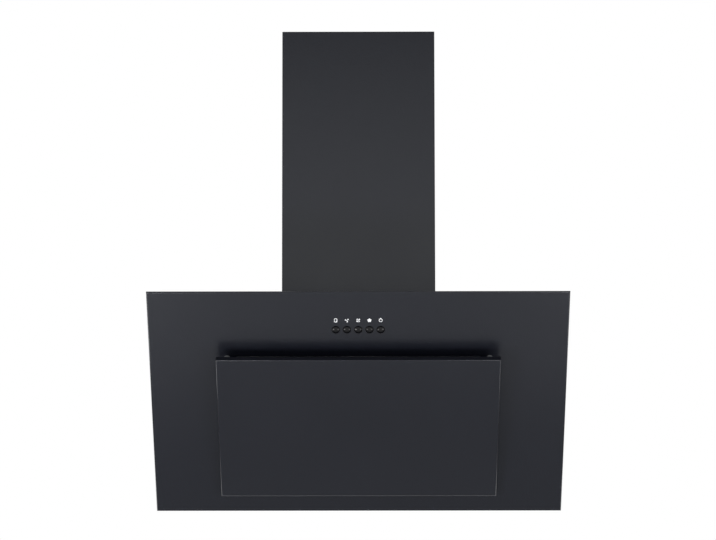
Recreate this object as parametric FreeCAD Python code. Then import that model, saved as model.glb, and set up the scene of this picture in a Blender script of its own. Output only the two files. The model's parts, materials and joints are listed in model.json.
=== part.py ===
"""Chimney range hood, 600 mm wide: a wedge-shaped steel body with a face that leans
forward at its top, a hinged flap over the grease filter, five push buttons, a blower
with its motor, an outlet spigot with two damper flaps, and a two-part chimney.

Frame: +X to the right, -Y to the front, +Z up. The wall is the plane Y = 0. The origin
is the centre of the four wall-screw holes in the back plate. Lengths are millimetres."""
import FreeCAD, Part
import math
import os

Vector = FreeCAD.Vector
ALONG_X = Vector(1, 0, 0)
ALONG_Y = Vector(0, 1, 0)
ALONG_Z = Vector(0, 0, 1)

# ---- Sheet metal and gaps -------------------------------------------------------------
SHEET = 1.0                     # body and chimney steel
BEND_RADIUS = 1.0               # inside radius of every fold
SEAT_GAP = 0.3                  # between a loose piece and its seat
SLIDE_GAP = 0.4                 # between the two chimney parts
RUNNING_GAP = 0.05              # radial, between a pin and the bore it turns in
FIXED_GAP = 0.02                # radial, between a pin and the bore that grips it
FLANGE_WIDTH = 13.0             # folded edges of the side and back panels
TOLERANCE = 0.001               # for telling which edges to round

# ---- Body ------------------------------------------------------------------------------
BODY_WIDTH = 600.0
BODY_HEIGHT = 315.0
BODY_TOP_DEPTH = 350.0
FACE_LEAN_DEG = 30.0            # the face from the vertical
FACE_RETURN = 16.0              # depth of the face's folded edges
EDGE_SETBACK = 5.0              # roof and floor sheets stop this far behind the face
WALL_HOLES_BELOW_TOP = 110.0    # centre of the hole pattern under the body's top
WALL_HOLE_SPACING_X = 260.0
WALL_HOLE_SPACING_Z = 150.0
WALL_HOLE_RADIUS = 4.25
BODY_SCREW_PITCH = 120.0

# ---- Screws ----------------------------------------------------------------------------
SCREW_RADIUS = 1.9
SCREW_HEAD_RADIUS = 3.8
SCREW_HEAD_HEIGHT = 1.6
SCREW_LENGTH = 8.0
SCREW_GAP = 0.05
SCREW_HEAD_ROUNDING = 0.6       # share of the head's height

# ---- Air opening, filter tray and grease filter ----------------------------------------
OPENING_WIDTH = 356.0
OPENING_HEIGHT = 214.0
OPENING_DOWN = 104.0            # from the face's top edge, along the face
OPENING_CORNER = 6.0
TRAY_FLANGE = 13.0
TRAY_DEPTH = 17.0
TRAY_LIP = 10.0
RAIL_LENGTH = 300.0
RAIL_HEIGHT = 5.0
FILTER_DEPTH = 10.0
FILTER_SIDE_GAP = 1.5
FILTER_TOP_GAP = 2.7
FILTER_LIP = 9.0
FILTER_WALL = 1.0
MESH_GAP = 0.2
MESH_NOTCH_GAP = 1.0            # round the latch's plate

# ---- Filter latch ----------------------------------------------------------------------
LATCH_TRAVEL = 6.0
LATCH_PLATE_WIDTH = 60.0
LATCH_PLATE_HEIGHT = 28.0
LATCH_HANDLE_WIDTH = 48.0
LATCH_HANDLE_HEIGHT = 22.0
LATCH_HANDLE_DEPTH = 3.0
LATCH_RIDGE = 2.5
LATCH_BOLT_WIDTH = 12.0
LATCH_BOLT_DEPTH = 2.5
LATCH_BOLT_TAIL = 14.0          # bolt's lower end under the filter's top
LATCH_BOLT_REACH = 1.5          # bolt's tip past the tray's top wall
LATCH_NECK_WIDTH = 8.0
LATCH_NECK_HEIGHT = 5.0
LATCH_SEAT_HEIGHT = 2.0
LATCH_SPRING_RADIUS = 2.2
LATCH_WIRE_RADIUS = 0.4
LATCH_SPRING_TURNS = 5

# ---- Flap ------------------------------------------------------------------------------
FLAP_SIDE_LAP = 24.5            # past the air opening on each side
FLAP_HEIGHT = 238.3
FLAP_THICKNESS = 9.0
FLAP_DOWN = 94.3                # its top edge under the face's top edge, along the face
FLAP_TOP_STANDOFF = 30.5        # outer side from the face, at the flap's top edge
FLAP_BOTTOM_STANDOFF = 11.0
FLAP_SHEET = 1.0
FLAP_EDGE_RADIUS = 1.6
BACKING_GAP = 0.2

# ---- Flap hinges -----------------------------------------------------------------------
HINGE_SPACING = 300.0           # between the two hinges' centres
HINGE_INSET = 4.5               # pin above the flap's bottom edge
HINGE_PIN_RADIUS = 1.25
KNUCKLE_RADIUS = 2.8
FIXED_KNUCKLE_LENGTH = 24.0
MOVING_KNUCKLE_LENGTH = 8.0
HINGE_WEB = 2.0
HINGE_BASE_HEIGHT = 11.0
HINGE_LEAF_HEIGHT = 20.0
HINGE_NOTCH_GAP = 1.0           # each side of the fixed knuckle
HINGE_NOTCH_HEIGHT = 13.0
RIVET_RADIUS = 1.6
RIVET_HEAD_RADIUS = 3.0
RIVET_HEAD_HEIGHT = 1.2
RIVET_SPACING = 14.0

# ---- Flap catches ----------------------------------------------------------------------
CATCH_FROM_OPENING = 10.0       # beside the air opening
CATCH_DOWN = 110.0
CATCH_POST_RADIUS = 5.0
CATCH_STUD_RADIUS = 2.5
CATCH_STUD_LENGTH = 4.0
CATCH_STRIKE_RADIUS = 7.0
CATCH_STRIKE_THICKNESS = 1.0
CATCH_POST_LENGTH = 40.0        # blank length, cut off at the face

# ---- Push buttons ----------------------------------------------------------------------
BUTTON_NAMES = ("off", "low", "medium", "high", "light")
BUTTON_PITCH = 16.0
BUTTON_DOWN = 61.5
BUTTON_RADIUS = 5.6
BUTTON_HOLE_GAP = 0.4
BUTTON_PROUD = 2.2              # rim of the cap in front of the face
BUTTON_CROWN = 1.0              # height of the cap's dome
BUTTON_TRAVEL = 3.0
BUTTON_FLANGE_RADIUS = 7.2
BUTTON_FLANGE_THICKNESS = 1.5
BUTTON_STEM_RADIUS = 2.5
BUTTON_STEM_END = 20.0          # stem's rear end behind the face
SWITCH_BLOCK_GAP = 1.4          # behind the flange of a pressed button
SWITCH_BLOCK_DEPTH = 17.8
SWITCH_BLOCK_HEIGHT = 24.0
SWITCH_BLOCK_END = 10.0         # block past the outer buttons' centres
SWITCH_POCKET_RADIUS = 4.4
SWITCH_POCKET_DEPTH = 8.8
SWITCH_FOOT_LENGTH = 9.0
SWITCH_FOOT_DEPTH = 4.0
WELD_STUD_RADIUS = 1.5
WELD_STUD_LENGTH = 10.0
SWITCH_STUD_GAP = 0.1
BUTTON_SPRING_RADIUS = 3.4
BUTTON_WIRE_RADIUS = 0.35
BUTTON_SPRING_TURNS = 6

# ---- Lamps -----------------------------------------------------------------------------
LAMP_FROM_SIDE = 100.0
LAMP_FROM_WALL = 84.0
LAMP_FLANGE_RADIUS = 33.0
LAMP_BODY_RADIUS = 27.7
LAMP_HOLE_GAP = 0.3
LAMP_BODY_HEIGHT = 18.0
LAMP_WALL = 1.5
LENS_THICKNESS = 2.5
LENS_RECESS = 0.6
LENS_LEDGE = 2.0
BOARD_RADIUS = 22.0
BOARD_THICKNESS = 1.6
CHIP_SIZE = 3.5
CHIP_HEIGHT = 0.8
CHIP_CIRCLE_RADIUS = 10.0
CHIPS = 6
DRIVER_LENGTH = 90.0
DRIVER_DEPTH = 36.0
DRIVER_HEIGHT = 22.0
DRIVER_EAR = 8.0
DRIVER_CORNER = 2.0

# ---- Blower ----------------------------------------------------------------------------
# The scroll's wall moves outwards by one step each quarter turn. The scroll is as large as
# the room between the outlet and the filter tray lets it be.
OUTLET_FROM_WALL = 95.0         # centre of the air outlet
SCROLL_BELOW_TOP = 41.6         # the scroll's start under the body's top
SCROLL_TRAY_GAP = 5.88
SCROLL_STEP = 10.8
SCROLL_STEPS = 2.5              # from the scroll's start to its exit
TONGUE_RADIUS = 10.4
SCROLL_WIDTH = 130.0
COLLAR_WIDTH = 4.0              # before and behind the throat
COLLAR_SCREW_MARGIN = 6.0
COLLAR_SCREW_INSET = 5.0        # from the throat's front and rear
COLLAR_GAP = 0.1                # round the side plates
SPIGOT_HEAD_GAP = 1.0           # between the collar's screw heads and the spigot
WHEEL_RATIO = 5 / 6             # wheel's radius by the scroll's start
BLADE_ROOT_RATIO = 0.8154       # blades' inner radius by the wheel's
MOTOR_RATIO = 0.7547            # motor's radius by the blades' inner one
ROTOR_RATIO = 0.65              # stator's bore by the motor's radius
IMPELLER_END_GAP = 15.0         # from each side plate
INLET_LAP = 1.0                 # inlet's edge inside the blades
INLET_LIP = 6.0
IMPELLER_RING = 2.0
IMPELLER_DISC_X = 8.0
BLADES = 26
BLADE_THICKNESS = 0.9
BLADE_SWEEP_DEG = 9.0
HUB_RADIUS = 10.0
HUB_LENGTH = 16.0

# ---- Motor -----------------------------------------------------------------------------
SHAFT_RADIUS = 4.0
MOTOR_END_GAP = 5.0             # from the inlet side of the scroll
MOTOR_FRONT_X = 2.0
MOTOR_WALL = 2.0
STATOR_END_GAP = 11.0
ROTOR_AIR_GAP = 0.6
BEARING_RADIUS = 9.0
BEARING_WIDTH = 6.0
SHAFT_HOLE_GAP = 1.0
BRACKET_SHEET = 2.0
BRACKET_HUB_RADIUS = 24.0
BRACKET_ARMS = 3
BRACKET_ARM_WIDTH = 14.0
RUBBER_RADIUS = 6.0
RUBBER_THICKNESS = 3.0
RUBBER_FROM_INLET = 7.0         # rubber's centre outside the inlet's edge

# ---- Electrical parts under the roof ---------------------------------------------------
CAPACITOR_RADIUS = 15.0
CAPACITOR_LENGTH = 62.0
CAPACITOR_X = -150.0
CAPACITOR_FROM_WALL = 150.0
CAPACITOR_EDGE_RADIUS = 2.0
BLADE_TERMINAL_WIDTH = 6.3
BLADE_TERMINAL_LENGTH = 8.0
BLADE_TERMINAL_THICKNESS = 0.8
CLIP_SHEET = 1.2
CLIP_WIDTH = 14.0
CLIP_FOOT = 12.0
TERMINAL_BOX_WIDTH = 72.0
TERMINAL_BOX_DEPTH = 46.0
TERMINAL_BOX_HEIGHT = 30.0
TERMINAL_BOX_X = 140.0
TERMINAL_BOX_FROM_WALL = 70.0
TERMINAL_BOX_WALL = 2.0
GLAND_X = 92.0
GLAND_FROM_WALL = 30.0
GLAND_THREAD_RADIUS = 8.0
GLAND_HEX_RADIUS = 11.0
GLAND_HEX_HEIGHT = 5.0
GLAND_NUT_HEIGHT = 4.0
GLAND_CAP_HEIGHT = 12.0
GLAND_CAP_INSET = 0.5           # inside the flats of the hexagon
GLAND_CAP_TOP_RADIUS = 6.8
GLAND_BORE_RADIUS = 4.0
GLAND_DEPTH = 12.0
GLAND_HOLE_GAP = 0.2

# ---- Outlet spigot and damper ----------------------------------------------------------
SPIGOT_RADIUS = 75.0
SPIGOT_WALL = 2.0
SPIGOT_LENGTH = 52.0
SPIGOT_FLANGE_WIDTH = 12.0
SPIGOT_FLANGE_THICKNESS = 1.5
SPIGOT_SCREWS = 4
DAMPER_HEIGHT = 12.0            # damper pins above the roof
DAMPER_PIN_OFFSET = 6.0
DAMPER_PIN_RADIUS = 1.25
DAMPER_BARREL_RADIUS = 2.6
DAMPER_BARREL_LENGTH = 110.0
DAMPER_THICKNESS = 1.2
DAMPER_RIM_GAP = 0.8
DAMPER_LEDGE_WIDTH = 3.0
DAMPER_LEDGE_HEIGHT = 2.0
DAMPER_BAR_WIDTH = 4.0
DAMPER_BAR_HEIGHT = 8.0
DAMPER_PIN_SHORT = 0.6          # pin's end inside the spigot's outer surface

# ---- Chimney ---------------------------------------------------------------------------
CHIMNEY_WIDTH = 228.0
CHIMNEY_DEPTH = 190.0
CHIMNEY_HEIGHT = 400.0          # above the body's top
CHIMNEY_RETURN = 12.0
UPPER_FOOT_HEIGHT = 45.0        # upper chimney's lower end above the body's top
UPPER_TOP_DROP = 2.0            # upper chimney's upper end under the lower one's
VENT_SLOTS = 6
VENT_SLOT_LENGTH = 70.0
VENT_SLOT_HEIGHT = 3.5
VENT_SLOT_PITCH = 10.0
VENT_TOP_MARGIN = 46.0
BRACKET_HEIGHT = 30.0
BRACKET_DROP = 6.0              # bracket under the upper chimney's top
BRACKET_THICKNESS = 1.2
BRACKET_WALL_HALF = 96.0        # half width of the strip on the wall
BRACKET_ARM = 30.0
BRACKET_SCREW_ALONG_ARM = 18.0
BRACKET_HOLE_RADIUS = 3.25
BRACKET_HOLE_SPACING = 150.0
FOOT_BRACKET_DEPTH = 50.0
FOOT_BRACKET_HEIGHT = 32.0
FOOT_BRACKET_BASE = 16.0
CHIMNEY_SCREW_HEIGHT = 17.0
CHIMNEY_SCREW_LENGTH = 6.0
CHIMNEY_SCREW_HEAD_HEIGHT = 1.2

# ---- Worked out from the above ---------------------------------------------------------
LEAN = math.radians(FACE_LEAN_DEG)
TOP_Z = WALL_HOLES_BELOW_TOP
BOTTOM_Z = TOP_Z - BODY_HEIGHT
BODY_BOTTOM_DEPTH = BODY_TOP_DEPTH - BODY_HEIGHT * math.tan(LEAN)
FACE_LENGTH = BODY_HEIGHT / math.cos(LEAN)
ROOF_TOP = TOP_Z - SHEET                    # the roof lies under the face's top fold
ROOF_UNDER = ROOF_TOP - SHEET
FLOOR_UNDER = BOTTOM_Z + SHEET
FLOOR_TOP = FLOOR_UNDER + SHEET
SIDE_OUTER = BODY_WIDTH / 2 - SHEET         # side panels lie inside the face's side folds
SIDE_INNER = SIDE_OUTER - SHEET
BODY_SCREW_X = SIDE_OUTER - FLANGE_WIDTH / 2

FLAP_WIDTH = OPENING_WIDTH + 2 * FLAP_SIDE_LAP
CATCH_X = OPENING_WIDTH / 2 + CATCH_FROM_OPENING
FLAP_TILT_DEG = math.degrees(math.asin((FLAP_TOP_STANDOFF - FLAP_BOTTOM_STANDOFF) / FLAP_HEIGHT))
HINGE_Y_ON_FLAP = FLAP_THICKNESS / 2
HINGE_Z_ON_FLAP = HINGE_INSET - FLAP_HEIGHT
HINGE_HALF_LENGTH = FIXED_KNUCKLE_LENGTH / 2 + SEAT_GAP + MOVING_KNUCKLE_LENGTH

FILTER_WIDTH = OPENING_WIDTH - 2 * FILTER_SIDE_GAP
FILTER_HEIGHT = OPENING_HEIGHT - FILTER_TOP_GAP - SEAT_GAP
FILTER_TOP = -(OPENING_DOWN + FILTER_TOP_GAP)           # on the face
FILTER_REAR = TRAY_DEPTH - SHEET - SEAT_GAP
FILTER_FRONT = FILTER_REAR - FILTER_DEPTH
LATCH_Y = (FILTER_FRONT + FILTER_REAR) / 2              # middle of the bolt and spring

BUTTON_FLANGE_REAR = SHEET + SEAT_GAP + BUTTON_FLANGE_THICKNESS
SWITCH_BLOCK_FRONT = BUTTON_FLANGE_REAR + BUTTON_TRAVEL + SWITCH_BLOCK_GAP
SWITCH_BLOCK_REAR = SWITCH_BLOCK_FRONT + SWITCH_BLOCK_DEPTH
SWITCH_POCKET_END = SWITCH_BLOCK_FRONT + SWITCH_POCKET_DEPTH

# The throat is centred under the outlet, and as deep as the exit radius and half a step less
# the tongue. The exit radius leaves the tray's gap beside the scroll's second quarter, whose
# centre is half a step behind the shaft and below it.
HALF_STEP = SCROLL_STEP / 2
START_DROP = SCROLL_STEPS * SCROLL_STEP
ROOM_DEPTH = BODY_TOP_DEPTH - OUTLET_FROM_WALL + HALF_STEP + (HALF_STEP - TONGUE_RADIUS) / 2
ROOM_DROP = SCROLL_BELOW_TOP + 2 * HALF_STEP - START_DROP
ROOM_TO_TRAY = (ROOM_DEPTH * math.cos(LEAN) - ROOM_DROP * math.sin(LEAN)
                - TRAY_DEPTH - SCROLL_TRAY_GAP)
SCROLL_EXIT_RADIUS = ((ROOM_TO_TRAY + START_DROP - SCROLL_STEP - SHEET)
                      / (1 + math.cos(LEAN) / 2 + math.sin(LEAN)))
SCROLL_START_RADIUS = SCROLL_EXIT_RADIUS - START_DROP
THROAT_DEPTH = SCROLL_EXIT_RADIUS + HALF_STEP - TONGUE_RADIUS
THROAT_FRONT = -OUTLET_FROM_WALL - THROAT_DEPTH / 2
THROAT_REAR = -OUTLET_FROM_WALL + THROAT_DEPTH / 2
SHAFT_Y = THROAT_REAR - SCROLL_EXIT_RADIUS
SHAFT_Z = TOP_Z - SCROLL_BELOW_TOP - HALF_STEP - SCROLL_START_RADIUS
COLLAR_SCREW_Y = THROAT_DEPTH / 2 - COLLAR_SCREW_INSET
COLLAR_SCREW_RING = SPIGOT_RADIUS + SPIGOT_FLANGE_WIDTH + SPIGOT_HEAD_GAP + SCREW_HEAD_RADIUS
COLLAR_SCREW_X = math.sqrt(COLLAR_SCREW_RING ** 2 - COLLAR_SCREW_Y ** 2)
OUTLET_CENTRE = Vector(0, -OUTLET_FROM_WALL, 0)
IMPELLER_RADIUS = SCROLL_START_RADIUS * WHEEL_RATIO
IMPELLER_INNER_RADIUS = IMPELLER_RADIUS * BLADE_ROOT_RATIO
IMPELLER_WIDTH = SCROLL_WIDTH - 2 * IMPELLER_END_GAP
INLET_RADIUS = IMPELLER_INNER_RADIUS - INLET_LAP
MOTOR_RADIUS = IMPELLER_INNER_RADIUS * MOTOR_RATIO
MOTOR_REAR_X = MOTOR_END_GAP - SCROLL_WIDTH / 2
STATOR_INNER_RADIUS = MOTOR_RADIUS * ROTOR_RATIO
RUBBER_CIRCLE_RADIUS = INLET_RADIUS + RUBBER_FROM_INLET
BRACKET_ARM_END = RUBBER_CIRCLE_RADIUS + RUBBER_RADIUS

CHIMNEY_TOP = TOP_Z + CHIMNEY_HEIGHT
UPPER_TOP = CHIMNEY_TOP - UPPER_TOP_DROP
UPPER_HALF = CHIMNEY_WIDTH / 2 - SHEET - SLIDE_GAP
UPPER_FRONT = -(CHIMNEY_DEPTH - SHEET - SLIDE_GAP)
UPPER_REAR = -(SHEET + SLIDE_GAP)
BRACKET_MIDDLE_Z = UPPER_TOP - BRACKET_DROP - BRACKET_HEIGHT / 2


# ---- Shapes used by many pieces --------------------------------------------------------
def box(x0, x1, y0, y1, z0, z1):
    return Part.makeBox(x1 - x0, y1 - y0, z1 - z0, Vector(x0, y0, z0))


def rod(radius, start, end):
    """A round bar between two points."""
    axis = end - start
    return Part.makeCylinder(radius, axis.Length, start, axis)


def tube(outer_radius, inner_radius, start, end):
    return rod(outer_radius, start, end).cut(rod(inner_radius, start, end))


def joined(shapes):
    """One solid from pieces that overlap."""
    return shapes[0].multiFuse(shapes[1:]).removeSplitter()


def group(shapes):
    """Separate solids in one node."""
    return Part.makeCompound(shapes)


def mirrored(shape):
    return shape.mirror(Vector(0, 0, 0), ALONG_X)


def runs_along(edge, direction):
    return abs(edge.tangentAt(edge.FirstParameter).dot(direction)) > 1 - TOLERANCE


def rounded_slab(width, height, corner, y0, y1, middle_z):
    """An upright slab across Y with four rounded corners."""
    slab = box(-width / 2, width / 2, y0, y1, middle_z - height / 2, middle_z + height / 2)
    edges = [edge for edge in slab.Edges if runs_along(edge, ALONG_Y)]
    return slab.makeFillet(corner, edges)


def bent_line(points, radii):
    """Straight runs joined by tangent arcs."""
    edges = []
    start = points[0]
    for before, corner, after, radius in zip(points, points[1:], points[2:], radii):
        arriving = (corner - before).normalize()
        leaving = (after - corner).normalize()
        half_turn = arriving.getAngle(leaving) / 2
        run_in = corner - arriving * radius * math.tan(half_turn)
        run_out = corner + leaving * radius * math.tan(half_turn)
        inward = (leaving - arriving).normalize()
        middle = corner + inward * radius * (1 / math.cos(half_turn) - 1)
        edges.append(Part.LineSegment(start, run_in).toShape())
        edges.append(Part.Arc(run_in, middle, run_out).toShape())
        start = run_out
    edges.append(Part.LineSegment(start, points[-1]).toShape())
    return edges


def folded_sheet(points, thickness, normal, length):
    """A strip folded along `points`, its thickness on the left of the line as `normal`
    points to the viewer, and `length` long along `normal`."""
    runs = [(after - before).normalize() for before, after in zip(points, points[1:])]
    sides = [normal.cross(run) for run in runs]
    left = [points[0] + sides[0] * thickness]
    own_radii = []
    left_radii = []
    for corner, arriving, leaving, side, next_side in zip(points[1:], runs, runs[1:], sides, sides[1:]):
        both = side + next_side
        left.append(corner + both * (2 * thickness / both.Length ** 2))
        turns_left = normal.dot(arriving.cross(leaving)) > 0
        own_radii.append(BEND_RADIUS + thickness if turns_left else BEND_RADIUS)
        left_radii.append(BEND_RADIUS if turns_left else BEND_RADIUS + thickness)
    left.append(points[-1] + sides[-1] * thickness)
    edges = bent_line(points, own_radii) + bent_line(left, left_radii)
    edges.append(Part.LineSegment(points[0], left[0]).toShape())
    edges.append(Part.LineSegment(points[-1], left[-1]).toShape())
    section = Part.Face(Part.Wire(Part.__sortEdges__(edges)))
    return section.extrude(normal * length)


def screw(seat, direction, length=SCREW_LENGTH, head_height=SCREW_HEAD_HEIGHT):
    """A pan-head screw whose head lies on `seat` and whose shank runs along `direction`."""
    head = rod(SCREW_HEAD_RADIUS, seat - direction * head_height, seat)
    head = head.makeFillet(head_height * SCREW_HEAD_ROUNDING, head.Edges[2:3])
    return head.fuse(rod(SCREW_RADIUS, seat - direction * head_height / 2, seat + direction * length))


def screw_hole(seat, direction, depth):
    return rod(SCREW_RADIUS + SCREW_GAP, seat - direction * depth, seat + direction * depth)


def coil_spring(mean_radius, wire_radius, turns, start, end):
    """A compression spring from `start` to `end`, its end turns touching both seats."""
    axis = end - start
    height = axis.Length - 2 * wire_radius
    path = Part.makeHelix(height / turns, height, mean_radius)
    wire = Part.Wire(Part.makeCircle(wire_radius, Vector(mean_radius, 0, 0), ALONG_Y))
    spring = Part.Wire(path.Edges).makePipeShell([wire], True, True)
    spring.translate(ALONG_Z * wire_radius)
    spring.Placement = FreeCAD.Placement(start, FreeCAD.Rotation(ALONG_Z, axis)) * spring.Placement
    return spring


# ---- Frames ----------------------------------------------------------------------------
# On the face: the origin is the middle of the face's top edge, +X to the right, +Y into
# the body and +Z up along the face. On the flap: the same, from the flap's top edge.
def face_to_body(shape):
    placed = shape.copy()
    placed.rotate(Vector(0, 0, 0), ALONG_X, FACE_LEAN_DEG)
    placed.translate(Vector(0, -BODY_TOP_DEPTH, TOP_Z))
    return placed


def flap_to_face(shape):
    placed = shape.copy()
    placed.rotate(Vector(0, 0, 0), ALONG_X, FLAP_TILT_DEG)
    placed.translate(Vector(0, -FLAP_TOP_STANDOFF, -FLAP_DOWN))
    return placed


def flap_to_body(shape):
    return face_to_body(flap_to_face(shape))


def flap_point_on_face(point):
    return flap_to_face(Part.Vertex(point)).Point


# ---- Body panels -----------------------------------------------------------------------
def face_y(z, inset):
    """Where the face lies at height z, or a plane `inset` behind it."""
    return -BODY_TOP_DEPTH + inset / math.cos(LEAN) + (TOP_Z - z) * math.tan(LEAN)


def body_wedge(inset, corner_radius):
    """The body's outline taken in by `inset`, with the edges of its face rounded."""
    top = TOP_Z - inset
    bottom = BOTTOM_Z + inset
    half = BODY_WIDTH / 2 - inset
    corners = [Vector(-half, 0, top), Vector(-half, face_y(top, inset), top),
               Vector(-half, face_y(bottom, inset), bottom), Vector(-half, 0, bottom)]
    wedge = Part.Face(Part.makePolygon(corners + corners[:1])).extrude(ALONG_X * 2 * half)
    face_edges = [edge for edge in wedge.Edges
                  if all(abs(v.Y - face_y(v.Z, inset)) < TOLERANCE for v in edge.Vertexes)]
    return wedge.makeFillet(corner_radius, face_edges)


def opening_slab(margin, y0, y1, corner=None):
    """A slab over the air opening, larger by `margin` on each side."""
    middle = -(OPENING_DOWN + OPENING_HEIGHT / 2)
    radius = OPENING_CORNER + max(margin, 0) if corner is None else corner
    return rounded_slab(OPENING_WIDTH + 2 * margin, OPENING_HEIGHT + 2 * margin, radius, y0, y1, middle)


def button_x(index):
    return (index - (len(BUTTON_NAMES) - 1) / 2) * BUTTON_PITCH


def button_axis(index, y0, y1, radius):
    x = button_x(index)
    return rod(radius, Vector(x, y0, -BUTTON_DOWN), Vector(x, y1, -BUTTON_DOWN))


def switch_stud_x():
    return button_x(len(BUTTON_NAMES) - 1) + SWITCH_BLOCK_END + SWITCH_FOOT_LENGTH / 2


def hinge_axis_on_face():
    return flap_point_on_face(Vector(0, HINGE_Y_ON_FLAP, HINGE_Z_ON_FLAP))


def rivet_places():
    """Rivets of the fixed hinge leaves, as points in the face's surface."""
    z = hinge_axis_on_face().z + HINGE_BASE_HEIGHT / 2 - RIVET_RADIUS / 2
    return [Vector(side * HINGE_SPACING / 2 + offset, 0, z)
            for side in (-1, 1) for offset in (-RIVET_SPACING / 2, RIVET_SPACING / 2)]


def rivet_holes():
    depth = ALONG_Y * TRAY_DEPTH / 2
    return [rod(RIVET_RADIUS + FIXED_GAP, place - depth, place + depth) for place in rivet_places()]


def catch_stud_holes():
    depth = ALONG_Y * CATCH_STUD_LENGTH
    return [rod(CATCH_STUD_RADIUS + FIXED_GAP, place - depth, place + depth)
            for place in (Vector(side * CATCH_X, 0, -CATCH_DOWN) for side in (-1, 1))]


def front_panel():
    shell = body_wedge(0, BEND_RADIUS + SHEET).cut(body_wedge(SHEET, BEND_RADIUS))
    reach = 2 * FACE_LENGTH
    front_part = face_to_body(box(-BODY_WIDTH, BODY_WIDTH, -SHEET, FACE_RETURN, -reach, reach))
    panel = shell.common(front_part)
    through = 2 * SHEET
    cuts = [opening_slab(0, -through, through)]
    cuts += [button_axis(i, -through, through, BUTTON_RADIUS + BUTTON_HOLE_GAP)
             for i in range(len(BUTTON_NAMES))]
    cuts += rivet_holes() + catch_stud_holes()
    panel = panel.cut([face_to_body(shape) for shape in cuts])
    studs = [rod(WELD_STUD_RADIUS, Vector(side * switch_stud_x(), SHEET / 2, -BUTTON_DOWN),
                 Vector(side * switch_stud_x(), SHEET + WELD_STUD_LENGTH, -BUTTON_DOWN))
             for side in (-1, 1)]
    return joined([panel.Solids[0]] + [face_to_body(stud) for stud in studs])


def body_screw_seats():
    middle = -(BODY_TOP_DEPTH + SCREW_HEAD_RADIUS) / 2
    return [Vector(side * BODY_SCREW_X, middle + step * BODY_SCREW_PITCH, ROOF_TOP)
            for side in (-1, 1) for step in (-1, 0, 1)]


def body_screw_holes():
    return [screw_hole(seat, -ALONG_Z, SCREW_LENGTH) for seat in body_screw_seats()]


def right_side_panel():
    rear = -SHEET
    clearance = SHEET + BEND_RADIUS + SEAT_GAP
    corners = [Vector(SIDE_INNER, rear, FLOOR_TOP), Vector(SIDE_INNER, rear, ROOF_UNDER),
               Vector(SIDE_INNER, face_y(ROOF_UNDER, clearance), ROOF_UNDER),
               Vector(SIDE_INNER, face_y(FLOOR_TOP, clearance), FLOOR_TOP)]
    plate = Part.Face(Part.makePolygon(corners + corners[:1])).extrude(ALONG_X * SHEET)
    inner_edge = SIDE_OUTER - FLANGE_WIDTH
    top_front = -BODY_TOP_DEPTH + 2 * EDGE_SETBACK
    bottom_front = -BODY_BOTTOM_DEPTH + 2 * EDGE_SETBACK
    flanges = [box(inner_edge, SIDE_OUTER, rear - SHEET, rear, FLOOR_TOP, ROOF_UNDER),
               box(inner_edge, SIDE_OUTER, top_front, rear, ROOF_UNDER - SHEET, ROOF_UNDER),
               box(inner_edge, SIDE_OUTER, bottom_front, rear, FLOOR_TOP, FLOOR_TOP + SHEET)]
    return joined([plate] + flanges).cut(body_screw_holes())


def wall_hole_centres():
    return [Vector(sx * WALL_HOLE_SPACING_X / 2, 0, sz * WALL_HOLE_SPACING_Z / 2)
            for sx in (-1, 1) for sz in (-1, 1)]


def back_plate():
    half_flange = SIDE_OUTER - FLANGE_WIDTH - SHEET
    plate = box(-SIDE_OUTER, SIDE_OUTER, -SHEET, 0, FLOOR_TOP, ROOF_UNDER)
    top = box(-half_flange, half_flange, -FLANGE_WIDTH, 0, ROOF_UNDER - SHEET, ROOF_UNDER)
    bottom = box(-half_flange, half_flange, -FLANGE_WIDTH, 0, FLOOR_TOP, FLOOR_TOP + SHEET)
    holes = [rod(WALL_HOLE_RADIUS, centre - ALONG_Y * 2 * SHEET, centre + ALONG_Y * SHEET)
             for centre in wall_hole_centres()]
    return joined([plate, top, bottom]).cut(holes)


def top_plate():
    plate = box(-SIDE_OUTER, SIDE_OUTER, -BODY_TOP_DEPTH + EDGE_SETBACK, 0, ROOF_UNDER, ROOF_TOP)
    reach = ALONG_Z * SCREW_LENGTH
    middle = OUTLET_CENTRE + ALONG_Z * ROOF_TOP
    gland = Vector(GLAND_X, -GLAND_FROM_WALL, ROOF_TOP)
    cuts = [rod(SPIGOT_RADIUS - SPIGOT_WALL, middle - reach, middle + reach),
            rod(GLAND_THREAD_RADIUS + GLAND_HOLE_GAP, gland - reach, gland + reach)]
    cuts += body_screw_holes() + spigot_screw_holes() + collar_screw_holes()
    return plate.cut(cuts)


def lamp_centre(side):
    return Vector(side * (BODY_WIDTH / 2 - LAMP_FROM_SIDE), -LAMP_FROM_WALL, 0)


def underside_plate():
    plate = box(-SIDE_OUTER, SIDE_OUTER, -BODY_BOTTOM_DEPTH + EDGE_SETBACK, 0, FLOOR_UNDER, FLOOR_TOP)
    holes = [rod(LAMP_BODY_RADIUS + LAMP_HOLE_GAP, lamp_centre(side) + ALONG_Z * BOTTOM_Z,
                 lamp_centre(side) + ALONG_Z * (FLOOR_TOP + SHEET)) for side in (-1, 1)]
    return plate.cut(holes)


def body_screws():
    return group([screw(seat, -ALONG_Z) for seat in body_screw_seats()])


# ---- Filter tray, grease filter and latch (on the face) --------------------------------
def latch_bolt_box(gap, top, bottom):
    half = LATCH_BOLT_WIDTH / 2 + gap
    depth = LATCH_BOLT_DEPTH / 2 + gap
    return box(-half, half, LATCH_Y - depth, LATCH_Y + depth, bottom, top)


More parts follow.
